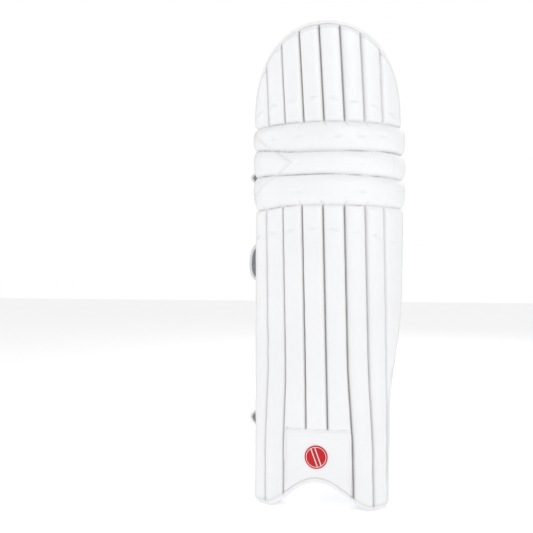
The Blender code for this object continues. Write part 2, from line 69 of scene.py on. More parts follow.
HAT_CREST, DOME_REACH = 0.6964, 0.124               # top of the dome's skins, and its mean radius
ARCH_CENTRE, ARCH_REACH, ARCH_HEIGHT = 0.0035, 0.0785, 0.0414      # arch over the boot
FOOT_CORNER = 0.012
PATCH_CENTRE, PATCH_HALF, PATCH_TOP = 0.0042, 0.0490, 0.1165       # instep patch
SHIN_PITCH, HAT_PITCH = 0.0312, 0.0300              # from one groove to the next
FIRST_GROOVE, GROOVE_COUNT = -2.5, 7
CORE_DEPTH, REAR_DEPTH = 0.0096, 0.0196             # middle of the padding, back of the lining
EDGE_ROUND = 0.0052
SKIN_INSET = 0.0016                                 # outline of the skins, inside the binding's
EDGE_HALF = 0.0064                                  # half the padding's thickness under the binding
ROLL_PROUD = 0.0040                                 # how far the rolls' ends stand past the edges
SKIN_THICK = 0.0008
ROLL_CROWN, SEAM_SINK = 0.0078, 0.0030
MID_ROLLS = [(SEAMS[k] + SEAMS[k + 1]) / 2 for k in range(3)]
SHIN_TOP = SEAMS[0] - 0.020


def mix(a, b, t):
    return a + (b - a) * t


def smooth(t):
    t = np.clip(t, 0.0, 1.0)
    return t * t * (3 - 2 * t)


def round_over(t):
    """Quarter circle from 0 at the edge to 1 once t is 1."""
    return np.sqrt(1.0 - (1.0 - np.clip(t, 0.0, 1.0)) ** 2)


def on_wall(arc, level, depth):
    """Points on the pad's section, which turns tighter round the sides."""
    t = np.clip((level - 0.05) / 0.40, 0.0, 1.0)
    middle, side = mix(0.170, 0.150, t), mix(0.055, 0.100, t)
    turn = np.minimum(np.abs(arc), MIDDLE_ARC) / middle
    more = turn + np.maximum(np.abs(arc) - MIDDLE_ARC, 0.0) / side
    x = middle * np.sin(turn) + side * (np.sin(more) - np.sin(turn)) - depth * np.sin(more)
    y = middle * (1 - np.cos(turn)) + side * (np.cos(turn) - np.cos(more)) + depth * np.cos(more)
    curl = np.maximum(0, 1 - level / 0.14) ** 2 + np.maximum(0, (level - SEAMS[3]) / 0.143) ** 2
    place = np.stack((np.copysign(x, arc), y - 0.0505 - 0.005 * curl, level + 0 * arc), axis=-1)
    return place + LEG_CENTRE


def wing_edge(level):
    return mix(ANKLE_EDGE, WING_EDGE, smooth((level - 0.15) / 0.16))


def side_edges(level):
    """Left and right edge of the pad: the top is set a little further round than the rolls."""
    t = smooth((level - SEAMS[3] + 0.004) / 0.010)
    return mix(INNER_EDGE, HAT_CENTRE - HAT_HALF_WIDTH, t), \
        mix(wing_edge(level), HAT_CENTRE + HAT_HALF_WIDTH, t)


def foot_line(arc):
    """Lower outline: an arch over the boot between two rounded corners."""
    reach = np.clip(np.abs(arc - ARCH_CENTRE) / ARCH_REACH, 0, 1)
    arch = ARCH_HEIGHT * (0.5 + 0.5 * np.cos(np.pi * reach)) ** 0.8
    inside = np.minimum(arc - INNER_EDGE, ANKLE_EDGE - arc)
    return arch + FOOT_CORNER * (1 - round_over(inside / FOOT_CORNER))


def dome_line(arc, inset=0.0):
    """Upper outline: half an ellipse over the knee."""
    reach = np.clip(np.abs(arc - HAT_CENTRE) / (HAT_HALF_WIDTH - inset), 0, 1)
    return HAT_SHOULDER + (HAT_CREST - inset - HAT_SHOULDER) * np.sqrt(1 - reach * reach)


def edge_distance(arc, level):
    """How far a place on the pad is from the nearest stretch of its outline."""
    left, right = side_edges(level)
    near = np.minimum(arc - left, right - arc)
    near = np.minimum(near, level - foot_line(arc))
    up = np.maximum(level - HAT_SHOULDER, 0.0) / (HAT_CREST - HAT_SHOULDER)
    across = (arc - HAT_CENTRE) / HAT_HALF_WIDTH
    dome = (1 - np.sqrt(across ** 2 + up ** 2)) * DOME_REACH
    return np.where(level > HAT_SHOULDER, dome, near)


def lean(level):
    """Grooves lean a little across the pad on their way up."""
    return np.where(level < SEAMS[2], (0.27 - level) * 0.021, -0.0014 - (level - 0.56) * 0.05)


# How far each groove has spread at the foot, and how much shade is painted into it.
GROOVE_SPREAD = (-0.0080, -0.0062, -0.0010, 0.0, 0.0050, 0.0042, 0.0)
GROOVE_SHADE = (0.12, 0.45, 0.9, 1.0, 1.0, 0.35, 0.12)


def groove_arc(index, level, pitch):
    """Arc of a stitched groove: they spread apart round the instep patch at the foot."""
    spread = GROOVE_SPREAD[index] * smooth((0.220 - level) / 0.15)
    arc = (FIRST_GROOVE + index) * pitch + lean(level) + spread
    return np.minimum(arc, side_edges(level)[1] - 0.006)


def groove_distance(arc, level, pitch):
    lines = [np.abs(arc - groove_arc(k, level, pitch)) for k in range(GROOVE_COUNT)]
    return np.min(lines, axis=0)


def ripple(arc, level, wavelength, seed):
    """Smooth uneven noise from about -1 to 1."""
    draw = np.random.RandomState(seed)
    total = 0.0
    for _ in range(8):
        turn, phase, stretch = draw.uniform(0, math.pi), draw.uniform(0, 6.28), draw.uniform(0.6, 1.7)
        along = arc * math.cos(turn) + level * math.sin(turn)
        total = total + np.sin(2 * np.pi * along / (wavelength * stretch) + phase)
    return total / 4.0


def rib_rise(arc, level, pitch, crease_level, seed):
    """Soft rib between stitched grooves, with the tuck across it where the cane ends."""
    near = groove_distance(arc, level, pitch)
    crown = 0.0030 * (1 - (1 - np.clip(near / (pitch / 2), 0, 1)) ** 2.6)
    trench = 0.0040 * np.exp(-(near / 0.0012) ** 2) + 0.0015 * np.exp(-(near / 0.0032) ** 2)
    channel = np.floor((arc - lean(level)) / pitch)
    tuck = crease_level + 0.0014 * np.sin(channel * 2.4 + seed) - 1.3 * arc * arc
    middle = np.exp(-((pitch / 2 - near) / (0.0060 + 0.0015 * np.sin(channel * 1.7))) ** 2)
    crease = 0.0022 * np.exp(-((level - tuck) / 0.0017) ** 2)
    crease = crease - 0.0010 * np.exp(-((level - tuck + 0.006) / 0.0045) ** 2)
    uneven = 0.00035 * ripple(arc, level * 0.5, 0.020, seed)
    return crown - trench - crease * middle + uneven


def seam_level(index, arc):
    """Roll seams aren't quite level: they swing towards the two edges."""
    swing = ((-0.0045, -0.0015), (0.0015, -0.003), (0.008, 0.002), (-0.001, 0.000))[index]
    left, right = smooth((-0.02 - arc) / 0.085), smooth((arc - 0.01) / 0.12)
    return SEAMS[index] + swing[0] * left + swing[1] * right


def roll_rise(arc, level):
    """Three stuffed rolls across the knee, sewn at four seams and tacked along their middles."""
    left, right = side_edges(level)
    ends = smooth(np.minimum(arc - left, right - arc) / 0.030)
    rise = np.full(np.shape(arc), -SEAM_SINK)
    for k in range(3):
        low, high = seam_level(k, arc), seam_level(k + 1, arc)
        t = np.clip((level - low) / (high - low), 0, 1)
        shape = (1 - np.abs(2 * t - 1) ** 2.6) ** 0.55
        fold = np.exp(-((level - (low + high) / 2 - 0.002 * np.sin(arc * 60 + k)) / 0.0024) ** 2)
        tacks = (-0.061, -0.021, 0.031, 0.067, 0.098) if k == 2 else (-0.020, 0.069)
        tacked = sum(np.exp(-((arc - tack) / 0.0055) ** 2) for tack in tacks)
        crest = mix(0.0052, ROLL_CROWN, ends) - 0.0024 * fold * np.clip(tacked, 0, 1) * ends
        crest = crest + 0.0007 * ripple(arc, level * 1.6, 0.050, 50 + k)
        rise = np.where((t > 0) & (t < 1), mix(-SEAM_SINK, crest, shape), rise)
    return rise


def pucker(arc, level):
    """Gathers either side of a seam."""
    gather = 0.0
    for k in range(4):
        away = np.abs(level - seam_level(k, arc))
        waves = np.sin(arc * 2 * np.pi / 0.0125 + 2.2 * np.sin(arc * 41 + k)) + ripple(arc, level, 0.011, k)
        strength = 0.00045 if k in (0, 3) else 0.00030
        gather = gather + strength * waves * smooth(away / 0.003) * np.exp(-away / 0.0075)
    for k, pitch, way in ((0, SHIN_PITCH, 1), (3, HAT_PITCH, -1)):
        into_roll = way * (level - seam_level(k, arc))
        for line in range(GROOVE_COUNT):
            root = groove_arc(line, level, pitch)
            slant = root + np.sign(root - 0.012) * 0.55 * into_roll
            notch = np.exp(-((arc - slant) / 0.0013) ** 2) * smooth(into_roll / 0.001)
            gather = gather - 0.0034 * notch * np.exp(-(into_roll / 0.0062) ** 2)
    return gather


FLAP_ARCS = np.array((-0.105, -0.0655, -0.030))
FLAP_TOP, FLAP_FOOT = np.array((0.552, 0.521, 0.499)), np.array((0.448, 0.477, 0.499))


def flap_inside(arc, level):
    """Distance inside the pointed reinforcement that is sewn over the rolls' inner ends."""
    top, foot = np.interp(arc, FLAP_ARCS, FLAP_TOP), np.interp(arc, FLAP_ARCS, FLAP_FOOT)
    return np.where(arc < FLAP_ARCS[2], 0.8 * np.minimum(top - level, level - foot), -0.01)


def in_panel(arc, level):
    """1 on the smooth patch over the instep."""
    side = (PATCH_HALF - 0.0015 - np.abs(arc - PATCH_CENTRE)) / 0.002
    return smooth(side) * smooth((PATCH_TOP - level) / 0.002)


def face_rise(arc, level):
    """How far the face stands out from the wall."""
    shin = rib_rise(arc, level, SHIN_PITCH, 0.405, 3)
    panel_dive = round_over((level - PATCH_TOP) / 0.005)
    shin = np.where(np.abs(arc - PATCH_CENTRE) < PATCH_HALF, mix(-0.0015, shin, panel_dive), shin)
    shin = mix(shin, -0.0006, in_panel(arc, level))
    hat = rib_rise(arc, level, HAT_PITCH, 0.591, 8)
    rise = np.where(level < SEAMS[1], shin, hat)
    below = round_over((seam_level(0, arc) - level) / 0.008)
    above = round_over((level - seam_level(3, arc)) / 0.007)
    rise = mix(-SEAM_SINK, rise, np.where(level < SEAMS[1], below, above))
    in_rolls = (level > seam_level(0, arc)) & (level < seam_level(3, arc))
    rise = np.where(in_rolls, roll_rise(arc, level), rise)
    rise = rise + pucker(arc, level) + 0.00025 * ripple(arc, level, 0.034, 21)
    return rise + 0.0013 * smooth(flap_inside(arc, level) / 0.0012)


def skin_inset(level):
    """The skins end inside the binding, but over the rolls they bulge past it."""
    t = smooth((level - SEAMS[0]) / 0.006) * smooth((SEAMS[3] - level) / 0.006)
    return mix(SKIN_INSET, -ROLL_PROUD, t)


def edge_turn(arc, level):
    """0 at the skins' outline, 1 where the padding has its full thickness."""
    reach = EDGE_ROUND + SKIN_INSET - skin_inset(level)
    return round_over((edge_distance(arc, level) - skin_inset(level)) / reach)


def face_point(arc, level, lift=0.0, edge_half=EDGE_HALF):
    """The face, rounding over to the binding at the outline."""
    t = edge_turn(arc, level)
    return on_wall(arc, level, mix(CORE_DEPTH - edge_half, -face_rise(arc, level) - lift, t))


def rear_point(arc, level, edge_half=EDGE_HALF):
    """The lining, quilted softly and rounding over to the binding."""
    t = edge_turn(arc, level)
    soft = 0.0007 * ripple(arc, level, 0.045, 31) + 0.0003 * ripple(arc, level, 0.013, 32)
    soft += 0.0020 * smooth((level - SHIN_TOP) / 0.006) * smooth((HAT_SHOULDER - level) / 0.006)
    return on_wall(arc, level, mix(CORE_DEPTH + edge_half, REAR_DEPTH + soft, t))


def select_only(piece):
    bpy.ops.object.select_all(action="DESELECT")
    piece.select_set(True)
    bpy.context.view_layer.objects.active = piece


def apply_modifier(piece, kind, **settings):
    select_only(piece)
    modifier = piece.modifiers.new(kind.title(), kind)
    for key, value in settings.items():
        setattr(modifier, key, value)
    bpy.ops.object.modifier_apply(modifier=modifier.name)


def points_of(piece, what="co"):
    flat = np.zeros(len(piece.data.vertices) * 3)
    piece.data.vertices.foreach_get(what, flat)
    return flat.reshape(-1, 3)


def normals_of(piece):
    return points_of(piece, "normal")


def move_points(piece, points):
    piece.data.vertices.foreach_set("co", np.ascontiguousarray(points, float).ravel())
    piece.data.update()


def lay_sheet(name, columns, rows, place, flip=False):
    """A flat grid of cloth laid point by point where place(column, row) says."""
    bpy.ops.object.select_all(action="DESELECT")
    bpy.ops.mesh.primitive_grid_add(x_subdivisions=len(columns) - 1,
                                    y_subdivisions=len(rows) - 1, size=2)
    sheet = bpy.context.object
    sheet.name = sheet.data.name = name
    flat = points_of(sheet)
    i = np.rint((flat[:, 0] + 1) / 2 * (len(columns) - 1)).astype(int)
    j = np.rint((flat[:, 1] + 1) / 2 * (len(rows) - 1)).astype(int)
    if flip:
        sheet.data.flip_normals()
    move_points(sheet, place(np.asarray(columns)[i], np.asarray(rows)[j]))
    return sheet


def edit_all(piece, operation, **settings):
    """Runs one mesh operation on all of a piece."""
    select_only(piece)
    bpy.ops.object.mode_set(mode="EDIT")
    bpy.ops.mesh.select_all(action="SELECT")
    operation(**settings)
    bpy.ops.object.mode_set(mode="OBJECT")


def merge_doubles(piece, distance=1e-5):
    edit_all(piece, bpy.ops.mesh.remove_doubles, threshold=distance)


def link_new(name, data):
    piece = bpy.data.objects.new(name, data)
    bpy.context.scene.collection.objects.link(piece)
    return piece


def dress(piece, looks, body):
    """Smooth shading, materials, and the body that the piece rides on."""
    select_only(piece)
    bpy.ops.object.shade_smooth_by_angle(angle=math.radians(62))
    piece.data.materials.clear()
    for look in looks:
        piece.data.materials.append(look)
    if body:
        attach(piece, body)
    return piece


def finish_skin(piece, look, body, node):
    """Gives a skin its thickness and its look, in the place of its node."""
    apply_modifier(piece, "SOLIDIFY", thickness=SKIN_THICK, offset=-1)
    dress(piece, [look], body)
    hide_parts(node)


def point_attribute(piece, name, values):
    layer = piece.data.attributes.new(name, "FLOAT", "POINT")
    layer.data.foreach_set("value", np.ascontiguousarray(values, np.float32))


class Look:
    """A Principled material and the few nodes that this pad's finishes are mixed from."""

    def __init__(self, name, colour, roughness, **sockets):
        self.material = bpy.data.materials.new(name)
        self.material.use_nodes = True
        self.tree = self.material.node_tree
        self.shader = self.tree.nodes["Principled BSDF"]
        self.shader.inputs["Base Color"].default_value = (*colour, 1)
        self.shader.inputs["Roughness"].default_value = roughness
        for socket, value in sockets.items():
            self.shader.inputs[socket.replace("_", " ").title().replace("Ior", "IOR")].default_value = value
        self.where = self.add("TexCoord").outputs["Object"]

    def add(self, kind, **inputs):
        node = self.tree.nodes.new("ShaderNode" + kind)
        for name, value in inputs.items():
            socket = node.inputs[name.replace("_", " ").title()]
            if isinstance(value, bpy.types.NodeSocket):
                self.tree.links.new(value, socket)
            else:
                socket.default_value = value
        return node

    def noise(self, scale, detail=3.0, where=None):
        node = self.add("TexNoise", vector=where or self.where, scale=scale, detail=detail)
        return node.outputs["Fac"]

    def cells(self, scale, where=None):
        return self.add("TexVoronoi", vector=where or self.where, scale=scale).outputs["Distance"]

    def ramp(self, value, low, high, start=0.0, end=1.0):
        node = self.add("MapRange", value=value)
        for socket, number in (("From Min", start), ("From Max", end), ("To Min", low), ("To Max", high)):
            node.inputs[socket].default_value = number
        return node.outputs["Result"]

    def attribute(self, name):
        node = self.tree.nodes.new("ShaderNodeAttribute")
        node.attribute_name = name
        return node.outputs["Fac"]

    def blend(self, fac, first, second):
        node = self.tree.nodes.new("ShaderNodeMix")
        node.data_type = "RGBA"
        for socket, value in zip((node.inputs[0], node.inputs[6], node.inputs[7]), (fac, first, second)):
            if isinstance(value, bpy.types.NodeSocket):
                self.tree.links.new(value, socket)
            else:
                socket.default_value = (*value, 1) if isinstance(value, tuple) else value
        return node.outputs[2]

    def colour(self, socket):
        self.tree.links.new(socket, self.shader.inputs["Base Color"])

    def rough(self, socket):
        self.tree.links.new(socket, self.shader.inputs["Roughness"])

    def bump(self, height, distance, strength=1.0):
        """One more layer of relief, on top of those already there."""
        node = self.add("Bump", height=height, strength=strength, distance=distance)
        under = self.shader.inputs["Normal"]
        if under.links:
            self.tree.links.new(under.links[0].from_socket, node.inputs["Normal"])
        self.tree.links.new(node.outputs["Normal"], under)


def leathercloth(name, colour, painted_shade_colour):
    """White polyurethane skin: fine pressed grain, with patchy grey-brown shade painted into the colour
    where the seam attribute marks grooves and seams.
    """
    look = Look(name, colour, 0.42, coat_weight=0.10, coat_roughness=0.35)
    # Noise that makes the painted shade patchy.
    shade_patchiness = look.ramp(look.noise(35.0, 4.0), 0.55, 1.0)
    # Painted shade: the seam attribute times the patchy noise mixes the colour towards the shade colour.
    seam = look.add("Math").outputs["Value"]
    seam.node.operation = "MULTIPLY"
    look.tree.links.new(look.attribute("seam"), seam.node.inputs[0])
    look.tree.links.new(shade_patchiness, seam.node.inputs[1])
    patchy = look.blend(look.ramp(look.noise(9.0, 3.0), 0.0, 1.0, 0.3, 0.7), colour,
                        tuple(0.965 * c for c in colour))
    look.colour(look.blend(seam, patchy, painted_shade_colour))
    look.rough(look.ramp(look.noise(60.0, 4.0), 0.34, 0.52))
    look.bump(look.cells(1150.0), 0.00012, 0.55)
    look.bump(look.noise(420.0, 5.0), 0.00020, 0.35)
    return look.material


# The second colour is the grey-brown shade painted into the grooves, the roll seams and beside the binding.
FACE_SKIN = leathercloth("white_leathercloth", (0.86, 0.865, 0.875), (0.36, 0.325, 0.29))


def quilted_lining(name, colour):
    """Brushed polyester lining: matt, very fine, with slack little creases."""
    look = Look(name, colour, 0.78, sheen_weight=0.25, sheen_roughness=0.4)
    shade = look.ramp(look.noise(14.0, 4.0), 0.0, 1.0, 0.3, 0.75)
    look.colour(look.blend(shade, colour, (colour[0] * 0.93, colour[1] * 0.945, colour[2] * 0.97)))
    look.bump(look.noise(75.0, 4.0), 0.0016, 0.28)
    look.bump(look.cells(1500.0), 0.00012, 0.5)
    return look.material


LINING_CLOTH = quilted_lining("white_polyester", (0.80, 0.815, 0.85))


def rib_columns(left, right, pitch, crowd_edges):
    """Column places across a ribbed part, closer together at each groove and at the edges."""
    steps = np.array((0.0, 0.0007, 0.0014, 0.0023, 0.0034, 0.0050, 0.0072, 0.0100, 0.0130))
    columns = [left, right]
    for k in range(GROOVE_COUNT):
        middle = (FIRST_GROOVE + k) * pitch
        for step in steps:
            columns += [middle - step, middle + step]
    for step in crowd_edges:
        columns += [left + step, right - step]
    columns = sorted(c for c in columns if left <= c <= right)
    kept = [columns[0]]
    for column in columns[1:]:
        if column - kept[-1] > 0.00025:
            kept.append(column)
    return np.array(kept)


def shin_arc(column, level):
    """Arc of a column at a level: columns follow the grooves and close up as the wing narrows."""
    left, right = side_edges(level)
    left, right = left + skin_inset(level), right - skin_inset(level)
    first, last = FIRST_GROOVE * SHIN_PITCH, (FIRST_GROOVE + GROOVE_COUNT - 1) * SHIN_PITCH
    place = np.clip((column - first) / SHIN_PITCH, 0, GROOVE_COUNT - 1.001)
    channel = place.astype(int)
    lines = np.stack([groove_arc(k, level, SHIN_PITCH) for k in range(GROOVE_COUNT)])
    pick = np.arange(len(column))
    low, high = lines[0], lines[-1]
    arc = mix(lines[channel, pick], lines[channel + 1, pick], place - channel)
    inner = left + (column - INNER_EDGE) / (first - INNER_EDGE) * (low - left)
    outer = high + (column - last) / (WING_EDGE - last) * (right - high)
    return np.where(column < first, inner, np.where(column > last, outer, arc))


BESIDE_BINDING = 0.0076                             # shaded line where the skins meet the binding


def seam_shade(piece, arc, level, pitch):
    """Paints shade into the colour: down in the grooves, along the roll seams, round the knee flap and
    beside the binding.
    """
    shade = np.zeros(len(arc))
    # Painted shade down in each groove, as strong as GROOVE_SHADE says.
    for k, strength in enumerate(GROOVE_SHADE):
        gap = arc - groove_arc(k, level, pitch)
        shade = np.maximum(shade, strength * np.exp(-(gap / 0.0011) ** 2))
    shade = np.where((level > SEAMS[0]) & (level < SEAMS[3]), 0.0, shade)
    for k in range(4):
        shade = np.maximum(shade, 0.22 * np.exp(-((level - seam_level(k, arc)) / 0.0011) ** 2))
    shade = np.maximum(shade, 0.25 * np.exp(-(flap_inside(arc, level) / 0.0008) ** 2))
    # Painted shade line beside the binding, darker along the foot.
    beside_binding = np.exp(-((edge_distance(arc, level) - BESIDE_BINDING) / 0.0010) ** 2)
    shade = np.maximum(shade, np.where(level - foot_line(arc) < 0.010, 0.75, 0.40) * beside_binding)
    point_attribute(piece, "seam", shade * 0.85)


EDGE_STEPS = (0.0003, 0.0008, 0.0016, 0.0027, 0.0042, 0.006, 0.0085, 0.012, 0.017)
SHIN_COLUMNS = rib_columns(INNER_EDGE, WING_EDGE, SHIN_PITCH, EDGE_STEPS)
rise_rows = np.concatenate(((0, 0.0009, 0.002, 0.0035, 0.0055, 0.0085), np.linspace(0.012, 1, 190)))


def shin_place(point):
    """Lays a sheet from the lower outline up to the knee."""
    def place(column, row):
        level = mix(0.03, SHIN_TOP, row)
        for _ in range(4):
            arc = shin_arc(column, level)
            foot = foot_line(arc) + SKIN_INSET
            level = mix(foot, SHIN_TOP, row)
        place.arc, place.level = arc, level
        return point(arc, level)
    return place


place = shin_place(face_point)
shin_face = lay_sheet("shin_face", SHIN_COLUMNS, rise_rows, place)
seam_shade(shin_face, place.arc, place.level, SHIN_PITCH)
finish_skin(shin_face, FACE_SKIN, "shin", "shin_cover")

# --- Shin lining --------------------------------------------------------------------
# White brushed polyester over the foam, sewn to the face all round under the binding.
# The padded rolls that hold the leg are sewn on behind it.
place = shin_place(rear_point)
shin_back = lay_sheet("shin_back", np.linspace(INNER_EDGE, WING_EDGE, 80),
                      np.concatenate(((0, 0.002, 0.0055, 0.010), np.linspace(0.017, 1, 110))),
                      place, flip=True)
finish_skin(shin_back, LINING_CLOTH, "shin", "shin_lining")

# --- Knee rolls ---------------------------------------------------------------------
# One piece of leathercloth goes over all three stuffed rolls and is sewn down at four
# seams, which are the hinges of the pad. Each skin here runs across one of them and rides on no body.
BEHIND = 10.0                                       # added to a column that lies on the lining


def hat_arc(column, level):
    left, right = side_edges(level)
    left, right = left + skin_inset(level), right - skin_inset(level)
    first, last = FIRST_GROOVE * HAT_PITCH, (FIRST_GROOVE + GROOVE_COUNT - 1) * HAT_PITCH
    low, high = first + lean(level), last + lean(level)
    hat_left, hat_right = HAT_CENTRE - HAT_HALF_WIDTH, HAT_CENTRE + HAT_HALF_WIDTH
    inner = left + (column - hat_left) / (first - hat_left) * (low - left)
    outer = high + (column - last) / (hat_right - last) * (right - high)
    return np.where(column < first, inner, np.where(column > last, outer, column + lean(level)))


def roll_arc(column, level):
    left, right = side_edges(level)
    share = (column - INNER_EDGE) / (WING_EDGE - INNER_EDGE)
    return mix(left + skin_inset(level), right - skin_inset(level), share)


def wrap_place(arc_of):
    """Lays a sleeve round the padding: face, edge, lining and back to the face."""
    def place(column, level):
        behind = column > BEHIND / 2
        arc = arc_of(np.where(behind, column - BEHIND, column), level)
        front, back = face_point(arc, level, edge_half=0.0), rear_point(arc, level, edge_half=0.0)
        place.arc, place.level, place.behind = arc, level, behind
        return np.where(behind[:, None], back, front)
    return place


def knee_skin(name, columns, arc_of, low, high, stands_for, pitch):
    rear = np.linspace(columns[-1], columns[0], 64) + BEHIND
    rows = np.linspace(low, high, int((high - low) / 0.0011))
    place = wrap_place(arc_of)
    skin = lay_sheet(name, np.concatenate((columns, rear)), rows, place)
    seam_shade(skin, place.arc, place.level, pitch)
    rear_points = place.behind
    material = [int(all(rear_points[v] for v in face.vertices)) for face in skin.data.polygons]
    dress(skin, [FACE_SKIN, LINING_CLOTH], None)
    skin.data.polygons.foreach_set("material_index", material)
    merge_doubles(skin)
    apply_modifier(skin, "SOLIDIFY", thickness=SKIN_THICK, offset=-1)
    bpy.ops.object.shade_smooth_by_angle(angle=math.radians(62))
    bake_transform(skin)
    if stands_for:
        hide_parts(*stands_for)
    return skin


ROLL_COLUMNS = mix(INNER_EDGE, WING_EDGE, mix(np.linspace(0, 1, 190), smooth(np.linspace(0, 1, 190)), 0.35))
HAT_COLUMNS = rib_columns(HAT_CENTRE - HAT_HALF_WIDTH, HAT_CENTRE + HAT_HALF_WIDTH, HAT_PITCH,
                          (0.00012, 0.0004, 0.0009) + EDGE_STEPS[2:] + (0.022, 0.027))
KNEE_SKINS = (("lower_roll_skin", SHIN_COLUMNS, shin_arc, ["lower_roll_cover"], SHIN_PITCH),
              ("middle_roll_skin", ROLL_COLUMNS, roll_arc, ["middle_roll_cover", "knee_flap"], SHIN_PITCH),
              ("upper_roll_skin", ROLL_COLUMNS, roll_arc, ["upper_roll_cover"], HAT_PITCH),
              ("top_seam_skin", HAT_COLUMNS, hat_arc, [], HAT_PITCH))
skin_ends = [SHIN_TOP] + MID_ROLLS + [HAT_SHOULDER]
for k, (name, columns, arc_of, stands_for, pitch) in enumerate(KNEE_SKINS):
    knee_skin(name, columns, arc_of, skin_ends[k], skin_ends[k + 1],
              stands_for, pitch)

# --- Domed top ----------------------------------------------------------------------
# The top above the knee is made like the shin: ribbed leathercloth over cane in front,
# foam inside and a plain padded lining behind, bound round its arch.


def hat_place(point):
    def place(column, row):
        level = np.full(column.shape, HAT_SHOULDER)
        for _ in range(4):
            arc = hat_arc(column, level)
            edge = HAT_HALF_WIDTH - SKIN_INSET
            arc = np.clip(arc, HAT_CENTRE - edge, HAT_CENTRE + edge)
            level = mix(HAT_SHOULDER, dome_line(arc, SKIN_INSET), row)
        place.arc, place.level = arc, level
        return point(arc, level)
    return place


hat_rows = np.concatenate((np.linspace(0, 0.9, 74), 1 - 0.1 * np.cos(np.linspace(0.1, math.pi / 2, 10))))
place = hat_place(face_point)
hat_face = lay_sheet("hat_face", HAT_COLUMNS, hat_rows, place)
seam_shade(hat_face, place.arc, place.level, HAT_PITCH)
merge_doubles(hat_face)
finish_skin(hat_face, FACE_SKIN, "top_hat", "hat_cover")
hat_back = lay_sheet("hat_back", HAT_CENTRE - HAT_HALF_WIDTH * np.cos(np.linspace(0, math.pi, 110)),
                     hat_rows, hat_place(rear_point), flip=True)
merge_doubles(hat_back)
finish_skin(hat_back, LINING_CLOTH, "top_hat", "hat_lining")

# --- Binding ------------------------------------------------------------------------
# A strip of leathercloth folded round the raw edges of face and lining and sewn through,
# one length round the shin and its boot arch, one over the top.
BINDING_OUT, BINDING_DEEP = 0.0030, 0.0092


def shin_outline(top):
    """Outline of the shin as (arc, level), from the inner side round the foot to the wing."""
    sides = np.linspace(top, 0.0128, 90)
    turn = FOOT_CORNER * (1 - np.cos(np.linspace(0, math.pi / 2, 9)))
    middle = np.linspace(INNER_EDGE + 0.0125, ANKLE_EDGE - 0.0125, 70)
    arcs = np.concatenate((INNER_EDGE + turn, middle, (ANKLE_EDGE - turn)[::-1]))
    left = np.stack((np.full(90, INNER_EDGE), sides), 1)
    foot = np.stack((arcs, foot_line(arcs)), 1)
    right = np.stack((wing_edge(sides[::-1]), sides[::-1]), 1)
    return np.concatenate((left, foot, right))


def hat_outline(low):
    """Outline of the top as (arc, level), from the inner side over the dome to the wing."""
    turn = np.linspace(math.pi, 0, 120)
    arch = np.stack((HAT_CENTRE + HAT_HALF_WIDTH * np.cos(turn),
                     HAT_SHOULDER + (HAT_CREST + 0.0036 - HAT_SHOULDER) * np.sin(turn)), 1)
    ends = np.linspace(low, HAT_SHOULDER - 0.002, 6)
    left = np.stack((np.full(6, arch[0, 0]), ends), 1)
    right = np.stack((np.full(6, arch[-1, 0]), ends[::-1]), 1)
    return np.concatenate((left, arch, right))


def inward(line):
    """Unit vectors in (arc, level) from an outline towards the inside, on its left-hand side."""
    step = np.gradient(line, axis=0)
    step /= np.linalg.norm(step, axis=1)[:, None]
    return np.stack((-step[:, 1], step[:, 0]), 1)


def bind(name, line, side, body, look, stands_for):
    tangent_side = side * inward(line)
    inside = line + 0.001 * tangent_side
    middle, within = on_wall(*line.T, CORE_DEPTH), on_wall(*inside.T, CORE_DEPTH)
    deeper = on_wall(*line.T, CORE_DEPTH + 0.001)
    out = (middle - within) / np.linalg.norm(middle - within, axis=1)[:, None]
    deep = (deeper - middle) / np.linalg.norm(deeper - middle, axis=1)[:, None]

    def place(turn, row):
        i = row.astype(int)
        across = np.sign(np.cos(turn)) * np.abs(np.cos(turn)) ** 0.70
        along = np.sign(np.sin(turn)) * np.abs(np.sin(turn)) ** 0.55
        slack = 0.00018 * np.sin(row * 2.3 + np.sin(row * 0.7) * 2)
        return middle[i] + out[i] * ((across - 1) * BINDING_OUT + slack * (across < 0.9))[:, None] \
            + deep[i] * (along * BINDING_DEEP)[:, None]
    tape = lay_sheet(name, np.linspace(0, 2 * math.pi, 21), np.arange(len(line)), place)
    merge_doubles(tape)
    edit_all(tape, bpy.ops.mesh.fill_holes, sides=40)
    edit_all(tape, bpy.ops.mesh.normals_make_consistent, inside=False)
    dress(tape, [look], body)
    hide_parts(stands_for)
    return tape


BINDING_SKIN = leathercloth("white_binding", (0.85, 0.855, 0.87), (0.5, 0.48, 0.46))
bind("shin_edging", shin_outline(SEAMS[0] - 0.006), 1, "shin", BINDING_SKIN, "shin_binding")
bind("hat_edging", hat_outline(SEAMS[3] + 0.006), -1, "top_hat", BINDING_SKIN, "hat_binding")

# --- Instep patch -------------------------------------------------------------------
# Smooth leathercloth patch over the boot's tongue, with rounded upper corners, sewn on
# over the ends of the middle ribs. A round badge is sewn in its middle.
PATCH_CORNER, PATCH_FOOT = 0.009, 0.0042            # corner radius, and distance from the arch


def patch_place(column, row):
    """Column and row run from -1 to 1 and from 0 to 1."""
    corner = PATCH_CORNER * (1 - round_over((1 - np.abs(column)) * PATCH_HALF / PATCH_CORNER))
    arc = PATCH_CENTRE + PATCH_HALF * column
    level = mix(foot_line(arc) + PATCH_FOOT, PATCH_TOP - corner, row)
    side = np.minimum((1 - np.abs(column)) * PATCH_HALF, (1 - row) * 0.09)
    puff = 0.0012 * round_over(side / 0.0016) + 0.0007 * smooth((side - 0.004) / 0.010)
    foot = smooth((level - foot_line(arc) - 0.004) / 0.004)
    uneven = 0.0003 * ripple(arc, level, 0.03, 44)
    rim = mix(CORE_DEPTH - EDGE_HALF, 0.0006, edge_turn(arc, level))
    patch_place.arc, patch_place.level = arc, level
    return on_wall(arc, level, rim - mix(0.0006, puff + uneven, foot))


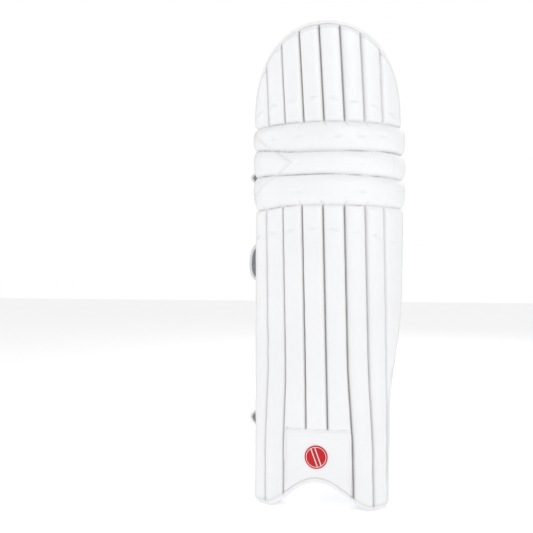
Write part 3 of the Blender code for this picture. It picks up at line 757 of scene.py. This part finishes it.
patch_columns = np.sin(np.linspace(-math.pi / 2, math.pi / 2, 75))
patch_rows = np.concatenate((np.linspace(0, 0.93, 50), 1 - 0.07 * np.cos(np.linspace(0.15, math.pi / 2, 9))))
instep_patch = lay_sheet("instep_patch", patch_columns, patch_rows, patch_place)
# Painted shade line beside the binding along the patch's foot.
painted_foot_shade = np.exp(-((patch_place.level - foot_line(patch_place.arc) - BESIDE_BINDING) / 0.0010) ** 2)
point_attribute(instep_patch, "seam", 0.7 * painted_foot_shade)
finish_skin(instep_patch, FACE_SKIN, "shin", "instep_panel")

# --- Stitching ----------------------------------------------------------------------
# White lockstitch thread, laid in each groove, beside the binding, round the instep
# patch and along the knee flap. Each stitch is a copy of one small bead.


def thread(name, colour):
    look = Look(name, colour, 0.6, sheen_weight=0.2)
    look.bump(look.noise(3500.0, 2.0), 0.0001, 0.5)
    return look.material


WHITE_THREAD = thread("white_thread", (0.78, 0.775, 0.77))
bpy.ops.object.select_all(action="DESELECT")
bpy.ops.mesh.primitive_uv_sphere_add(segments=6, ring_count=5, radius=1.0)
stitch = bpy.context.object
stitch.name = "one_stitch"
edit_all(stitch, bpy.ops.transform.rotate, value=math.pi / 2, orient_axis="Y", center_override=(0, 0, 0))
edit_all(stitch, bpy.ops.transform.resize, value=(0.00155, 0.00034, 0.00030))
STITCH_POINTS = points_of(stitch)
STITCH_FACES = [tuple(face.vertices) for face in stitch.data.polygons]
bpy.data.objects.remove(stitch)


def sew(name, spots, forwards, ups, body, look=WHITE_THREAD):
    """Copies of one stitch at the spots, each along its forward and lying flat under its up."""
    forwards = forwards / np.linalg.norm(forwards, axis=1)[:, None]
    sides = np.cross(ups, forwards)
    sides /= np.linalg.norm(sides, axis=1)[:, None]
    ups = np.cross(forwards, sides)
    turned = np.stack((forwards, sides, ups), axis=1)
    points = spots[:, None, :] + np.einsum("pk,skx->spx", STITCH_POINTS, turned)
    faces = [tuple(v + i * len(STITCH_POINTS) for v in face)
             for i in range(len(spots)) for face in STITCH_FACES]
    mesh = bpy.data.meshes.new(name)
    mesh.from_pydata(points.reshape(-1, 3).tolist(), [], faces)
    return dress(link_new(name, mesh), [look], body)


def spaced(line, pitch):
    """The line's points again, a stitch's pitch apart, with the direction at each."""
    line = np.asarray(line, float)
    run = np.concatenate(((0,), np.cumsum(np.linalg.norm(np.diff(line, axis=0), axis=1))))
    at = np.arange(pitch, run[-1] - pitch / 2, pitch)
    here = np.stack([np.interp(at, run, line[:, k]) for k in range(line.shape[1])], 1)
    there = np.stack([np.interp(at + 0.0005, run, line[:, k]) for k in range(line.shape[1])], 1)
    return here, there


def sew_lines(name, lines, point, body, pitch=0.0042, lift=0.0001):
    """Stitches along lines of (arc, level) that lie on a surface."""
    spots, forwards, ups = [], [], []
    for line in lines:
        here, there = spaced(line, pitch)
        arc, level = here.T
        spot = point(arc, level)
        up = np.cross(point(arc + 0.0004, level) - spot, point(arc, level + 0.0004) - spot)
        up *= np.sign(up[:, 1] if point is rear_point else -up[:, 1])[:, None]
        up /= np.linalg.norm(up, axis=1)[:, None]
        spots.append(spot + up * lift)
        forwards.append(point(*there.T) - spot)
        ups.append(up)
    return sew(name, np.concatenate(spots), np.concatenate(forwards), np.concatenate(ups), body)


def groove_line(index, pitch, low, high):
    levels = np.linspace(low, high, 60)
    return np.stack((groove_arc(index, levels, pitch), levels), 1)


EDGING_INSET = 0.0085                               # stitches from the binding's outer edge
shin_lines = []
for k in range(GROOVE_COUNT):
    root = FIRST_GROOVE * SHIN_PITCH + k * SHIN_PITCH
    over_patch = abs(root - PATCH_CENTRE) < PATCH_HALF
    foot = PATCH_TOP + 0.002 if over_patch else float(foot_line(np.array(root))) + 0.008
    shin_lines.append(groove_line(k, SHIN_PITCH, foot, SHIN_TOP))
sew_lines("shin_groove_stitches", shin_lines, face_point, "shin")
top_lines = [groove_line(k, SHIN_PITCH, SHIN_TOP, SEAMS[0] - 0.010) for k in range(GROOVE_COUNT)]
sew_lines("shin_top_stitches", top_lines, face_point, "shin")
hat_lines = []
for k in range(GROOVE_COUNT):
    root = float(groove_arc(k, np.array(0.63), HAT_PITCH))
    hat_lines.append(groove_line(k, HAT_PITCH, HAT_SHOULDER, float(dome_line(np.array(root))) - 0.006))
sew_lines("hat_groove_stitches", hat_lines, face_point, "top_hat")
edging, arch = shin_outline(SEAMS[0] - 0.012), hat_outline(SEAMS[3] + 0.010)
edging += EDGING_INSET * inward(edging)
arch -= EDGING_INSET * inward(arch)
for name, line, body in (("shin_edging_stitches", edging, "shin"), ("hat_edging_stitches", arch, "top_hat")):
    sew_lines(name, [line], face_point, body)
    sew_lines(f"{name}_behind", [line], rear_point, body)


def patch_surface(arc, level):
    column = np.clip((arc - PATCH_CENTRE) / PATCH_HALF, -1, 1)
    foot = foot_line(arc) + PATCH_FOOT
    return patch_place(column, (level - foot) / (PATCH_TOP - foot))


patch_hem = 0.0028
patch_side = PATCH_HALF - patch_hem
turn = np.linspace(0, math.pi / 2, 8)
corner_arc = patch_side - PATCH_CORNER * (1 - np.cos(turn))
corner_level = PATCH_TOP - patch_hem - PATCH_CORNER * (1 - np.sin(turn))
patch_edge = np.concatenate((
    np.stack((np.full(30, PATCH_CENTRE + patch_side), np.linspace(0.036, corner_level[0], 30)), 1),
    np.stack((PATCH_CENTRE + corner_arc, corner_level), 1),
    np.stack((PATCH_CENTRE - corner_arc, corner_level), 1)[::-1],
    np.stack((np.full(30, PATCH_CENTRE - patch_side), np.linspace(corner_level[0], 0.036, 30)), 1)))
sew_lines("patch_stitches", [patch_edge], patch_surface, "shin", pitch=0.0038, lift=0.0002)
FLAP_HEM = 0.0035


def flap_line(levels, low, high):
    """One edge of the knee flap, set in, between two levels."""
    arcs = np.linspace(-0.100, FLAP_ARCS[2] - FLAP_HEM, 80)
    line = np.stack((arcs, np.interp(arcs + FLAP_HEM, FLAP_ARCS, levels)), 1)
    return line[(line[:, 1] > low) & (line[:, 1] < high)]


for index, body in enumerate(("lower_roll", "middle_roll", "upper_roll")):
    low, high = SEAMS[index] + 0.009, SEAMS[index + 1] - 0.009
    lines = [flap_line(levels, low, high) for levels in (FLAP_TOP, FLAP_FOOT)]
    lines = [line for line in lines if len(line) > 3]
    if body == "middle_roll":
        lines.append(np.stack((np.full(20, 0.1175), np.linspace(low - 0.006, high + 0.006, 20)), 1))
    sew_lines(f"{body}_flap_stitches", lines, face_point, body, pitch=0.0038, lift=0.0002)

# --- Round badge --------------------------------------------------------------------
# Embroidered badge in red with a plain ball's seam across it, and a raised rim. One is
# sewn on the instep patch, one behind the domed top and one on the calf strap's tip.


def badge_look():
    look = Look("red_embroidery", (0.62, 0.004, 0.020), 0.70, sheen_weight=0.05)
    thread_run = look.add("TexWave", vector=look.where, scale=900.0, distortion=1.5)
    red = look.blend(look.ramp(look.noise(300.0), 0.0, 1.0), (0.66, 0.0015, 0.011), (0.54, 0.001, 0.008))
    look.colour(look.blend(look.attribute("mark"), red, (0.82, 0.82, 0.82)))
    look.bump(thread_run.outputs["Fac"], 0.0002, 0.6)
    return look.material


BADGE_LOOK = badge_look()


def badge(name, radius, surface, body):
    """surface(across, up, lift) gives the point that far from the badge's middle."""
    turns = np.linspace(0, 2 * math.pi, 97)
    rings = np.concatenate((np.linspace(0, 0.80, 26), np.linspace(0.825, 1.0, 12), (1.002,)))

    def place(turn, ring):
        across, up = ring * np.cos(turn), ring * np.sin(turn)
        tilted = across * math.cos(0.35) + up * math.sin(0.35)
        seam = np.abs(np.abs(tilted) - 0.17) < 0.045
        rim = np.exp(-((ring - 0.93) / 0.045) ** 2)
        place.mark = np.where(seam & (ring < 0.84), 1.0, 0.0)
        place.mark += np.where(np.abs(ring - 0.86) < 0.02, 1.0, 0.0)
        lift = np.where(ring > 1.001, -0.0004, 0.0007 + 0.0004 * rim + 0.00025 * (place.mark > 0.5))
        return surface(across * radius, up * radius, lift)
    disc = lay_sheet(name, turns, rings, place, flip=True)
    point_attribute(disc, "mark", np.clip(place.mark, 0, 1))
    merge_doubles(disc, 2e-6)
    return dress(disc, [BADGE_LOOK], body)


BADGE_ON_PATCH, BADGE_BEHIND_DOME = (0.0030, 0.0785), (HAT_CENTRE - 0.004, 0.628)


def on_patch(across, up, lift):
    arc, level = BADGE_ON_PATCH[0] + across, BADGE_ON_PATCH[1] + up
    further = on_wall(arc, level, -0.001) - on_wall(arc, level, 0.0)
    return patch_surface(arc, level) + further / 0.001 * lift[:, None]


def behind_dome(across, up, lift):
    spot = rear_point(BADGE_BEHIND_DOME[0] - across, BADGE_BEHIND_DOME[1] + up)
    return spot + np.array((0, 1, 0)) * lift[:, None]


badge("instep_badge", 0.0165, on_patch, "shin")
badge("top_badge", 0.0210, behind_dome, "top_hat")

# --- Rear padding -------------------------------------------------------------------
# Stuffed polyester rolls sewn behind the shin and the knee, with two flatter pads at the
# ankle. Each is a sewn bag blown up by its filling, a little slack where it is gathered.
STUFFING_PRESSURE, CREASE_DEPTH = 4.0, 0.00045


def bag_of(name, node, voxel):
    """The bag before it is stuffed: the node's shape, evenly meshed."""
    bag = link_new(name, frame["nodes"][node].data.copy())
    merge_doubles(bag)
    apply_modifier(bag, "REMESH", mode="VOXEL", voxel_size=voxel)
    return bag


def stuff(bag, pressure, swell):
    """Blows the bag up by cloth simulation, no point moving further than the swell."""
    before = points_of(bag)
    cloth = bag.modifiers.new("Cloth", "CLOTH")
    cloth.settings.quality = 4
    cloth.settings.mass = 0.25
    cloth.settings.tension_stiffness = cloth.settings.compression_stiffness = 12
    cloth.settings.bending_stiffness = 0.4
    cloth.settings.use_pressure = True
    cloth.settings.uniform_pressure_force = pressure
    cloth.settings.effector_weights.gravity = 0
    for step in range(1, 21):
        bpy.context.scene.frame_set(step)
    moved = points_of(bag.evaluated_get(bpy.context.evaluated_depsgraph_get())) - before
    far = np.linalg.norm(moved, axis=1)[:, None]
    moved = moved * np.minimum(1, swell / np.maximum(far, 1e-9))
    bag.modifiers.remove(cloth)
    bpy.context.scene.frame_set(1)
    move_points(bag, before + moved)


def rumple(bag, depth, seed):
    """Soft creases of slack cloth, stronger towards the bag's sewn edges."""
    points, normals = points_of(bag), normals_of(bag)
    low, high = points.min(0), points.max(0)
    inside = np.minimum(points - low, high - points)
    edge = np.exp(-np.minimum(inside[:, 0], inside[:, 2]) / 0.014)
    across, up = points[:, 0], points[:, 2]
    slack = ripple(across, up * 0.7, 0.034, seed) + 0.6 * ripple(across + points[:, 1], up, 0.014, seed + 1)
    gather = np.sin(across * 2 * math.pi / 0.009 + 2 * np.sin(up * 90 + seed))
    near_end = np.exp(-inside[:, 2] / 0.010)
    rise = depth * slack * (0.5 + edge) + depth * 0.9 * gather * near_end
    move_points(bag, points + normals * rise[:, None])


def padding(name, node, body, voxel, swell, seed):
    """One finished bag in the node's place, riding on the body."""
    bag = bag_of(name, node, voxel)
    stuff(bag, STUFFING_PRESSURE, swell)
    apply_modifier(bag, "SMOOTH", factor=0.6, iterations=4)
    apply_modifier(bag, "SUBSURF", levels=1, render_levels=1)
    rumple(bag, CREASE_DEPTH, seed)
    dress(bag, [LINING_CLOTH], None)
    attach(bag, body)
    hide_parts(node)
    return bag


# For each bag: its node, its body, the mesh size, how far it may swell and how full it is.
BAGS = {
    "calf_roll_wing_side": ("calf_bolster_wing", "shin", 0.0048, 0.0035, 0.75),
    "calf_roll_inner_side": ("calf_bolster_inner", "shin", 0.0048, 0.0035, 0.75),
    "wing_roll": ("wing_bolster", "shin", 0.0042, 0.0025, 0.6),
    "shin_strip": ("centre_shin_pad", "shin", 0.0036, 0.0015, 0.5),
    "ankle_flap_wing_side": ("ankle_pad_wing", "shin", 0.0040, 0.0022, 0.5),
    "ankle_flap_inner_side": ("ankle_pad_inner", "shin", 0.0040, 0.0022, 0.5),
    "knee_roll_wing_side": ("knee_bolster_wing", "middle_roll", 0.0044, 0.0030, 0.75),
    "knee_roll_inner_side": ("knee_bolster_inner", "middle_roll", 0.0044, 0.0030, 0.75),
    "knee_cup": ("knee_locator", "middle_roll", 0.0036, 0.0020, 0.65),
}
bags = {}
for index, (name, (node, body, voxel, swell, fill)) in enumerate(BAGS.items()):
    bags[name] = padding(name, node, body, voxel, swell, seed=60 + 3 * index)


def drop_onto(bag, spots, start, behind, lift):
    """Each (x, z) carried forwards from behind until it lies on the bag."""
    points = []
    for x, z in spots:
        hit, spot, normal, _ = bag.ray_cast(Vector((x, start, z)), Vector((0, -1, 0)))
        points.append(spot + normal * lift if hit else Vector((x, behind, z)))
    return np.array(points)


def lay_over(name, bag, corners, steps, look, body, lift=0.0006, radius=0.0):
    """A thin patch laid over a stuffed bag's back, between its corners (x, z) and (x, z)."""
    first, last = np.array(corners[0]), np.array(corners[1])
    centre, half = (first + last) / 2, (last - first) / 2

    def place(u, v):
        edge = np.minimum(1, (half - radius) / half)
        at = np.stack((u, v), 1)
        over = np.maximum(0, np.abs(at) - edge) / np.maximum(1e-9, 1 - edge)
        reach = np.maximum(1.0, np.linalg.norm(over, axis=1) / np.maximum(over.max(1), 1e-9))
        squared = np.minimum(np.abs(at), edge) + (1 - edge) * over / reach[:, None]
        return drop_onto(bag, centre + half * squared * np.sign(at), 0.3, 0.02, lift)
    patch = lay_sheet(name, np.linspace(-1, 1, steps[0]), np.linspace(-1, 1, steps[1]), place, flip=True)
    apply_modifier(patch, "SOLIDIFY", thickness=0.0008, offset=0)
    return dress(patch, [look], body)


LABEL_CLOTH = quilted_lining("pale_grey_label", (0.68, 0.69, 0.71))
CHARCOAL_PRINT = leathercloth("charcoal_print", (0.018, 0.019, 0.022), (0.02, 0.02, 0.02))
cup_low, cup_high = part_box("knee_locator")
cup_middle = (cup_low.x + cup_high.x) / 2
lay_over("knee_cup_label", bags["knee_cup"],
         ((cup_middle - 0.0165, cup_high.z - 0.062), (cup_middle + 0.0165, cup_high.z - 0.022)),
         (22, 22), LABEL_CLOTH, "middle_roll", radius=0.005)
STRIPE_HALF = 0.0014
strip_low, strip_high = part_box("centre_shin_pad")
strip_middle = (strip_low.x + strip_high.x) / 2
for index, across in enumerate((-0.0055, 0.0, 0.0055)):
    lay_over(f"shin_strip_stripe_{index + 1}", bags["shin_strip"],
             ((strip_middle + across - STRIPE_HALF, strip_low.z + 0.055),
              (strip_middle + across + STRIPE_HALF, strip_high.z - 0.060 - 0.012 * abs(index - 1))),
             (5, 60), CHARCOAL_PRINT, "shin", lift=0.0005, radius=0.0013)

# --- Loop tape ----------------------------------------------------------------------
# Patches of white loop tape on the inner rolls, where each strap's hook end is pressed.


def pile(name, colour, dark, scale=1700.0):
    """Fuzzy hook or loop pile."""
    look = Look(name, colour, 0.95, sheen_weight=0.5, sheen_roughness=0.6)
    look.colour(look.blend(look.ramp(look.noise(scale * 0.3, 4.0), 0, 1, 0.3, 0.7),
                           colour, tuple(dark * c for c in colour)))
    look.bump(look.cells(scale), 0.0006, 0.8)
    look.bump(look.noise(scale * 0.4, 4.0), 0.0006, 0.5)
    return look.material


LOOP_TAPE = pile("white_loop_tape", (0.76, 0.77, 0.79), 0.82)


def tape_on(name, node, bag, body):
    """Tape laid over a stuffed roll's back, over the box of the node it stands for."""
    low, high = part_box(node)

    def place(column, row):
        return drop_onto(bag, zip(column, row), high.y + 0.2, high.y, 0.0010)
    tape = lay_sheet(name, np.linspace(low.x, high.x, 16), np.linspace(low.z, high.z, 24), place, flip=True)
    apply_modifier(tape, "SOLIDIFY", thickness=0.0012, offset=0)
    dress(tape, [LOOP_TAPE], body)
    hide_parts(node)


tape_on("calf_tape", "calf_loop_patch", bags["calf_roll_inner_side"], "shin")
tape_on("ankle_tape", "ankle_loop_patch", bags["ankle_flap_inner_side"], "shin")
tape_on("knee_tape", "knee_loop_patch", bags["knee_roll_inner_side"], "middle_roll")

# --- Straps -------------------------------------------------------------------------
# Webbing straps sewn at the wing side. Each shows a panel of loop pile woven in charcoal
# and light grey squares, inside a white border, with hook tape beneath; the knee and calf straps end in a
# plain tip.
STRAP_THICK = 0.0019
JOINT_AT = {joint["name"]: np.array(joint["pos_m"]) for joint in frame["joints"]}
STRAP_TIPS = {"knee": (-0.1180, 0.0288, 0.489), "calf": (-0.1185, 0.0228, 0.358),
              "ankle": (-0.1140, 0.0118, 0.122)}
HALF_HEIGHT = {"knee": 0.016, "calf": 0.030, "ankle": 0.024}
PLAIN_TIP = {"knee": 0.098, "calf": 0.084, "ankle": 0.0}
TIP_SHAPE = {"knee": (1.5, 1.5), "calf": (0.62, 2.4), "ankle": (1.5, 1.5)}     # reach, bulge
CHECK_ROWS = {"knee": 2, "calf": 5, "ankle": 4}
CARRIER = {"knee": "middle_roll", "calf": "shin", "ankle": "shin"}
SQUARE = 0.0102                                     # side of a woven square
ANKLE_DROOP = 0.0022                                # the ankle strap's tip hangs a little
STITCH_PITCH = 0.0042


def strap_axes(name):
    """Where a strap is sewn on, its directions along, up and to the rear, and its length."""
    root = JOINT_AT[f"{name}_strap_swing"]
    along = np.array(STRAP_TIPS[name]) - root
    length = np.linalg.norm(along)
    along /= length
    rear = np.array((-along[1], along[0], 0.0)) / math.hypot(along[0], along[1])
    rear *= np.sign(rear[1])
    up = np.cross(along, rear)
    return root, along, up * np.sign(up[2]), rear, length


def strap_half(name, distance, end, half):
    """Half height of a strap's piece that ends at a distance, rounding off towards it."""
    reach, bulge = TIP_SHAPE[name]
    short = np.clip(1 - (end - distance) / (reach * half), 0, 1)
    return half * (1 - short ** bulge) ** (1 / bulge)


def thicken(layer, thick, soft_edge):
    apply_modifier(layer, "SOLIDIFY", thickness=thick, offset=0)
    apply_modifier(layer, "BEVEL", width=soft_edge, segments=2, limit_method="ANGLE",
                   angle_limit=math.radians(50))


def strap_slack(name, distance, height):
    """How far a strap bows and ripples off its straight middle."""
    length = strap_axes(name)[4]
    bow = 0.0008 * np.sin(distance * 34 + len(name)) * np.sin(distance / length * math.pi)
    return bow + 0.0005 * ripple(distance, height, 0.05, 71) * (distance > 0.02)


def strap_sheet(title, name, start, end, half, behind, thick, looks, rounded, squares=False):
    """One layer of a strap from start to end along it, behind its middle by some distance."""
    root, along, up, rear, length = strap_axes(name)
    tip_steps = end - (end - start) * (1 - np.sin(np.linspace(0, math.pi / 2, 120)))

    def place(distance, share):
        edge = strap_half(name, distance, end, half) if rounded else np.full(distance.shape, half)
        height = share * edge
        droop = ANKLE_DROOP * smooth((distance - 0.72 * length) / (0.28 * length)) * (name == "ankle")
        bulge = behind + strap_slack(name, distance, height)
        place.distance, place.height = distance, height
        return root + along * distance[:, None] + up * (height - droop)[:, None] + rear * bulge[:, None]
    layer = lay_sheet(title, tip_steps, np.sin(np.linspace(-math.pi / 2, math.pi / 2, 25)), place)
    if squares:
        chart = layer.data.uv_layers[0].data
        for loop in layer.data.loops:
            i = loop.vertex_index
            chart[loop.index].uv = ((place.distance[i] - start) / SQUARE,
                                    (place.height[i] + half) / (2 * half) * CHECK_ROWS[name])
    if rounded:
        merge_doubles(layer, 1e-6)
    thicken(layer, thick, min(0.00045, thick * 0.3))
    return dress(layer, looks, f"{name}_strap")


def checked_pile():
    """Loop pile in charcoal and light grey squares, their edges a little ragged."""
    look = Look("checked_loop_pile", (0.5, 0.5, 0.5), 0.95, sheen_weight=0.08, sheen_roughness=0.6)
    chart = look.add("TexCoord").outputs["UV"]
    wobble = look.add("TexNoise", vector=chart, scale=9.0, detail=3.0)
    shifted = look.add("VectorMath").outputs["Vector"]
    shifted.node.operation = "MULTIPLY_ADD"
    look.tree.links.new(wobble.outputs["Color"], shifted.node.inputs[0])
    shifted.node.inputs[1].default_value = (0.10, 0.10, 0.0)
    look.tree.links.new(chart, shifted.node.inputs[2])
    checks = look.add("TexChecker", vector=shifted, scale=1.0)
    fleck = look.ramp(look.noise(900.0, 4.0), 0.0, 1.0, 0.3, 0.75)
    dark = look.blend(fleck, (0.010, 0.011, 0.014), (0.026, 0.028, 0.033))
    pale = look.blend(fleck, (0.66, 0.67, 0.69), (0.46, 0.47, 0.49))
    look.colour(look.blend(checks.outputs["Fac"], dark, pale))
    look.bump(look.cells(1500.0), 0.0007, 0.8)
    look.bump(look.noise(650.0, 4.0), 0.0007, 0.5)
    return look.material


STRAP_SKIN = leathercloth("strap_leathercloth", (0.83, 0.835, 0.85), (0.5, 0.48, 0.46))
CHECKED_PILE = checked_pile()
HOOK_TAPE = pile("grey_hook_tape", (0.30, 0.31, 0.33), 0.7, 1300.0)


def strap_point(name, behind):
    """Gives the function from (distance, height) on a strap to a point behind its middle."""
    root, along, up, rear, _ = strap_axes(name)

    def point(distance, height):
        return root + along * distance[:, None] + up * height[:, None] + rear * behind
    return point


def sew_strap(name, lines, behind):
    """Stitch lines along a strap, each of (distance, height)."""
    on_strap, rear = strap_point(name, 0.0), strap_axes(name)[3]
    spots, forwards = [], []
    for line in lines:
        here, there = spaced(line, STITCH_PITCH)
        start = on_strap(*here.T)
        spots.append(start + rear * (strap_slack(name, *here.T) + behind)[:, None])
        forwards.append(on_strap(*there.T) - start)
    spots, forwards = np.concatenate(spots), np.concatenate(forwards)
    sew(f"{name}_strap_stitches", spots, forwards, np.tile(rear, (len(spots), 1)), f"{name}_strap")


def strap_tab(name):
    """Tab that comes round from the pad's edge and is sewn to the strap's root."""
    root, along, up, rear, _ = strap_axes(name)
    half = HALF_HEIGHT[name] + 0.0005

    def place(t, share):
        level = root[2] + share * half
        edge = on_wall(side_edges(level)[1] - 0.006, level, 0.0205)
        end = root + along * 0.012 - rear * 0.0024
        end = end[None, :] + up[None, :] * (share * half)[:, None]
        start = np.stack((edge[:, 0], edge[:, 1], end[:, 2]), 1)
        bend = end - along * 0.020 + rear * 0.0008
        t = t[:, None]
        return start * (1 - t) ** 2 + 2 * bend * t * (1 - t) + end * t * t
    tab = lay_sheet(f"{name}_strap_tab", np.linspace(0, 1, 24), np.linspace(-1, 1, 14), place, flip=True)
    thicken(tab, 0.0014, 0.0004)
    dress(tab, [STRAP_SKIN], CARRIER[name])
    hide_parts(f"{name}_strap_anchor")


for name in STRAP_TIPS:
    length = strap_axes(name)[4]
    half, plain = HALF_HEIGHT[name], PLAIN_TIP[name]
    band = strap_sheet(f"{name}_strap_band", name, 0.002, length, half, 0.0, STRAP_THICK,
                       [STRAP_SKIN], rounded=True)
    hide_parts(f"{name}_strap_core")
    check_half = half - (0.0052 if name == "knee" else 0.0034)
    check_end = length - plain if plain else length - 0.0045
    check = strap_sheet(f"{name}_strap_checks", name, 0.010, check_end, check_half, 0.0014, 0.0011,
                        [CHECKED_PILE], rounded=not plain, squares=True)
    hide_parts(f"{name}_strap_check")
    beside = np.linspace(0.006, check_end - (0.0 if plain else 0.0040), 60)
    row = np.full(60, check_half + 0.0017)
    if not plain:
        row = strap_half(name, beside, length - 0.0020, half - 0.0019)
    lines = [np.stack((beside, side * row), 1) for side in (-1, 1)]
    lines.append(np.stack((np.full(12, 0.006), np.linspace(-check_half, check_half, 12)), 1))
    if plain:
        tip = strap_sheet(f"{name}_strap_end", name, length - plain + 0.0006, length - 0.0016,
                          half - 0.0010, 0.0013, 0.0009, [STRAP_SKIN], rounded=True)
        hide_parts(f"{name}_strap_tip")
        run = np.linspace(length - plain + 0.004, length - 0.0060, 60)
        for side in (-1, 1):
            lines.append(np.stack((run, side * strap_half(name, run, length - 0.0045, half - 0.0038)), 1))
        lines.append(np.stack((np.full(12, run[0]), np.linspace(-half + 0.004, half - 0.004, 12)), 1))
    hook = strap_sheet(f"{name}_strap_hooks", name, length - 0.080, length - 0.004, half - 0.004,
                       -0.0016, 0.0012, [HOOK_TAPE], rounded=True)
    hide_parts(f"{name}_strap_hook")
    sew_strap(name, lines, 0.00195 if plain else 0.0011)
    strap_tab(name)


def on_calf_tip(across, up, lift):
    rear, length = strap_axes("calf")[3:]
    return strap_point("calf", 0.0017)(length - 0.045 - across, up) + rear * lift[:, None]


badge("calf_strap_badge", 0.0125, on_calf_tip, "calf_strap")

# --- Inside -------------------------------------------------------------------------
# Cane strips in the ribs and closed-cell foam behind them, hidden once the skins are on.


def split_cane():
    look = Look("split_cane", (0.62, 0.47, 0.25), 0.6)
    grain = look.add("Mapping", vector=look.where)
    grain.inputs["Scale"].default_value = (1.0, 1.0, 0.04)
    fibre = look.noise(700.0, 4.0, grain.outputs["Vector"])
    look.colour(look.blend(look.ramp(fibre, 0, 1, 0.3, 0.7), (0.66, 0.51, 0.28), (0.44, 0.31, 0.15)))
    look.bump(fibre, 0.0003, 0.6)
    return look.material


def closed_cell_foam():
    look = Look("closed_cell_foam", (0.50, 0.51, 0.53), 0.9)
    fleck = look.ramp(look.noise(500.0), 0, 1, 0.3, 0.7)
    look.colour(look.blend(fleck, (0.53, 0.54, 0.56), (0.40, 0.41, 0.43)))
    look.bump(look.cells(900.0), 0.0004, 0.7)
    return look.material


CANE, FOAM = split_cane(), closed_cell_foam()
FOAM_SLACK = 0.0022                                 # each block sits this far inside its node
FOAMS = {"lower_roll_core": ("lower_roll_foam", "lower_roll"),
         "middle_roll_core": ("middle_roll_foam", "middle_roll"),
         "upper_roll_core": ("upper_roll_foam", "upper_roll"),
         "shin_foam": ("shin_backing_foam", "shin"),
         "shin_wing_foam": ("wing_backing_foam", "shin"),
         "hat_foam": ("top_backing_foam", "top_hat")}
for node, (name, body) in FOAMS.items():
    block = bag_of(name, node, 0.0035)
    move_points(block, points_of(block) - FOAM_SLACK * normals_of(block))
    dress(block, [FOAM], body)
    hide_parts(node)
CANE_SET_BACK = 0.0035                              # at the foot, where the grooves spread
for index in range(GROOVE_COUNT):
    name = f"shin_cane_{index + 1}"
    strip = link_new(f"shin_strip_of_cane_{index + 1}", frame["nodes"][name].data.copy())
    merge_doubles(strip)
    points = points_of(strip) - 0.0009 * normals_of(strip)
    inwards = LEG_CENTRE - points
    inwards[:, 2] = 0.0
    inwards /= np.linalg.norm(inwards, axis=1)[:, None]
    points += CANE_SET_BACK * inwards * smooth((0.20 - points[:, 2]) / 0.08)[:, None]
    move_points(strip, points)
    dress(strip, [CANE], "shin")
    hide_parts(name)
for node, part in frame["nodes"].items():
    if not part.hide_render:
        part.data.materials.clear()
        part.data.materials.append(CANE if "cane" in node else FOAM)

# --- Studio -------------------------------------------------------------------------
# Plain pale floor and soft white light from all round, strongest from the wing side.
bpy.ops.object.select_all(action="DESELECT")
bpy.ops.mesh.primitive_plane_add(size=12, location=(0, 0, 0))
floor = bpy.context.object
floor.name = "studio_floor"
pale = Look("pale_floor", (0.93, 0.93, 0.935), 0.7)
pale.shader.inputs["Emission Color"].default_value = (1.0, 1.0, 1.0, 1)
pale.shader.inputs["Emission Strength"].default_value = 0.24
floor.data.materials.append(pale.material)

world = bpy.data.worlds.new("studio")
world.use_nodes = True
surround = world.node_tree.nodes["Background"]
surround.inputs["Color"].default_value = (1.0, 1.0, 1.0, 1)
surround.inputs["Strength"].default_value = 0.71
backdrop = world.node_tree.nodes.new("ShaderNodeBackground")
backdrop.inputs["Color"].default_value = (1.0, 1.0, 1.0, 1)
seen = world.node_tree.nodes.new("ShaderNodeLightPath")
either = world.node_tree.nodes.new("ShaderNodeMixShader")
world.node_tree.links.new(seen.outputs["Is Camera Ray"], either.inputs[0])
world.node_tree.links.new(surround.outputs[0], either.inputs[1])
world.node_tree.links.new(backdrop.outputs[0], either.inputs[2])
world.node_tree.links.new(either.outputs[0], world.node_tree.nodes["World Output"].inputs["Surface"])
bpy.context.scene.world = world
bpy.context.scene.view_settings.view_transform = "Standard"


def soft_box(name, place, target, size, watts):
    bpy.ops.object.light_add(type="AREA", location=place)
    lamp = bpy.context.object
    lamp.name = name
    lamp.data.shape = "RECTANGLE"
    lamp.data.size, lamp.data.size_y = size
    lamp.data.energy = watts
    aim = np.array(target) - np.array(place)
    lamp.rotation_euler = Vector(aim).to_track_quat("-Z", "Y").to_euler()


soft_box("key_light", (1.0, -1.6, 1.3), (0, 0, 0.35), (0.9, 1.6), 11)
soft_box("left_light", (-1.6, -0.4, 0.9), (0, 0, 0.35), (0.4, 1.6), 4.5)
soft_box("back_light", (0.5, 1.8, 1.6), (0, 0, 0.35), (1.6, 1.2), 9)

TURN = math.radians(11.4)
DISTANCE, EYE_LEVEL = 0.958, 0.347
camera_data = bpy.data.cameras.new("camera")
camera = link_new("camera", camera_data)
camera_data.sensor_width = 36.0
camera_data.lens = 45.32
camera_data.shift_x = -0.0897
camera_data.shift_y = 0.0038
face_line = LEG_CENTRE + np.array((0, -0.0505, EYE_LEVEL))
camera.location = Vector(face_line + DISTANCE * np.array((math.sin(TURN), -math.cos(TURN), 0)))
camera.rotation_euler = (math.pi / 2, 0, TURN)
bpy.context.scene.camera = camera
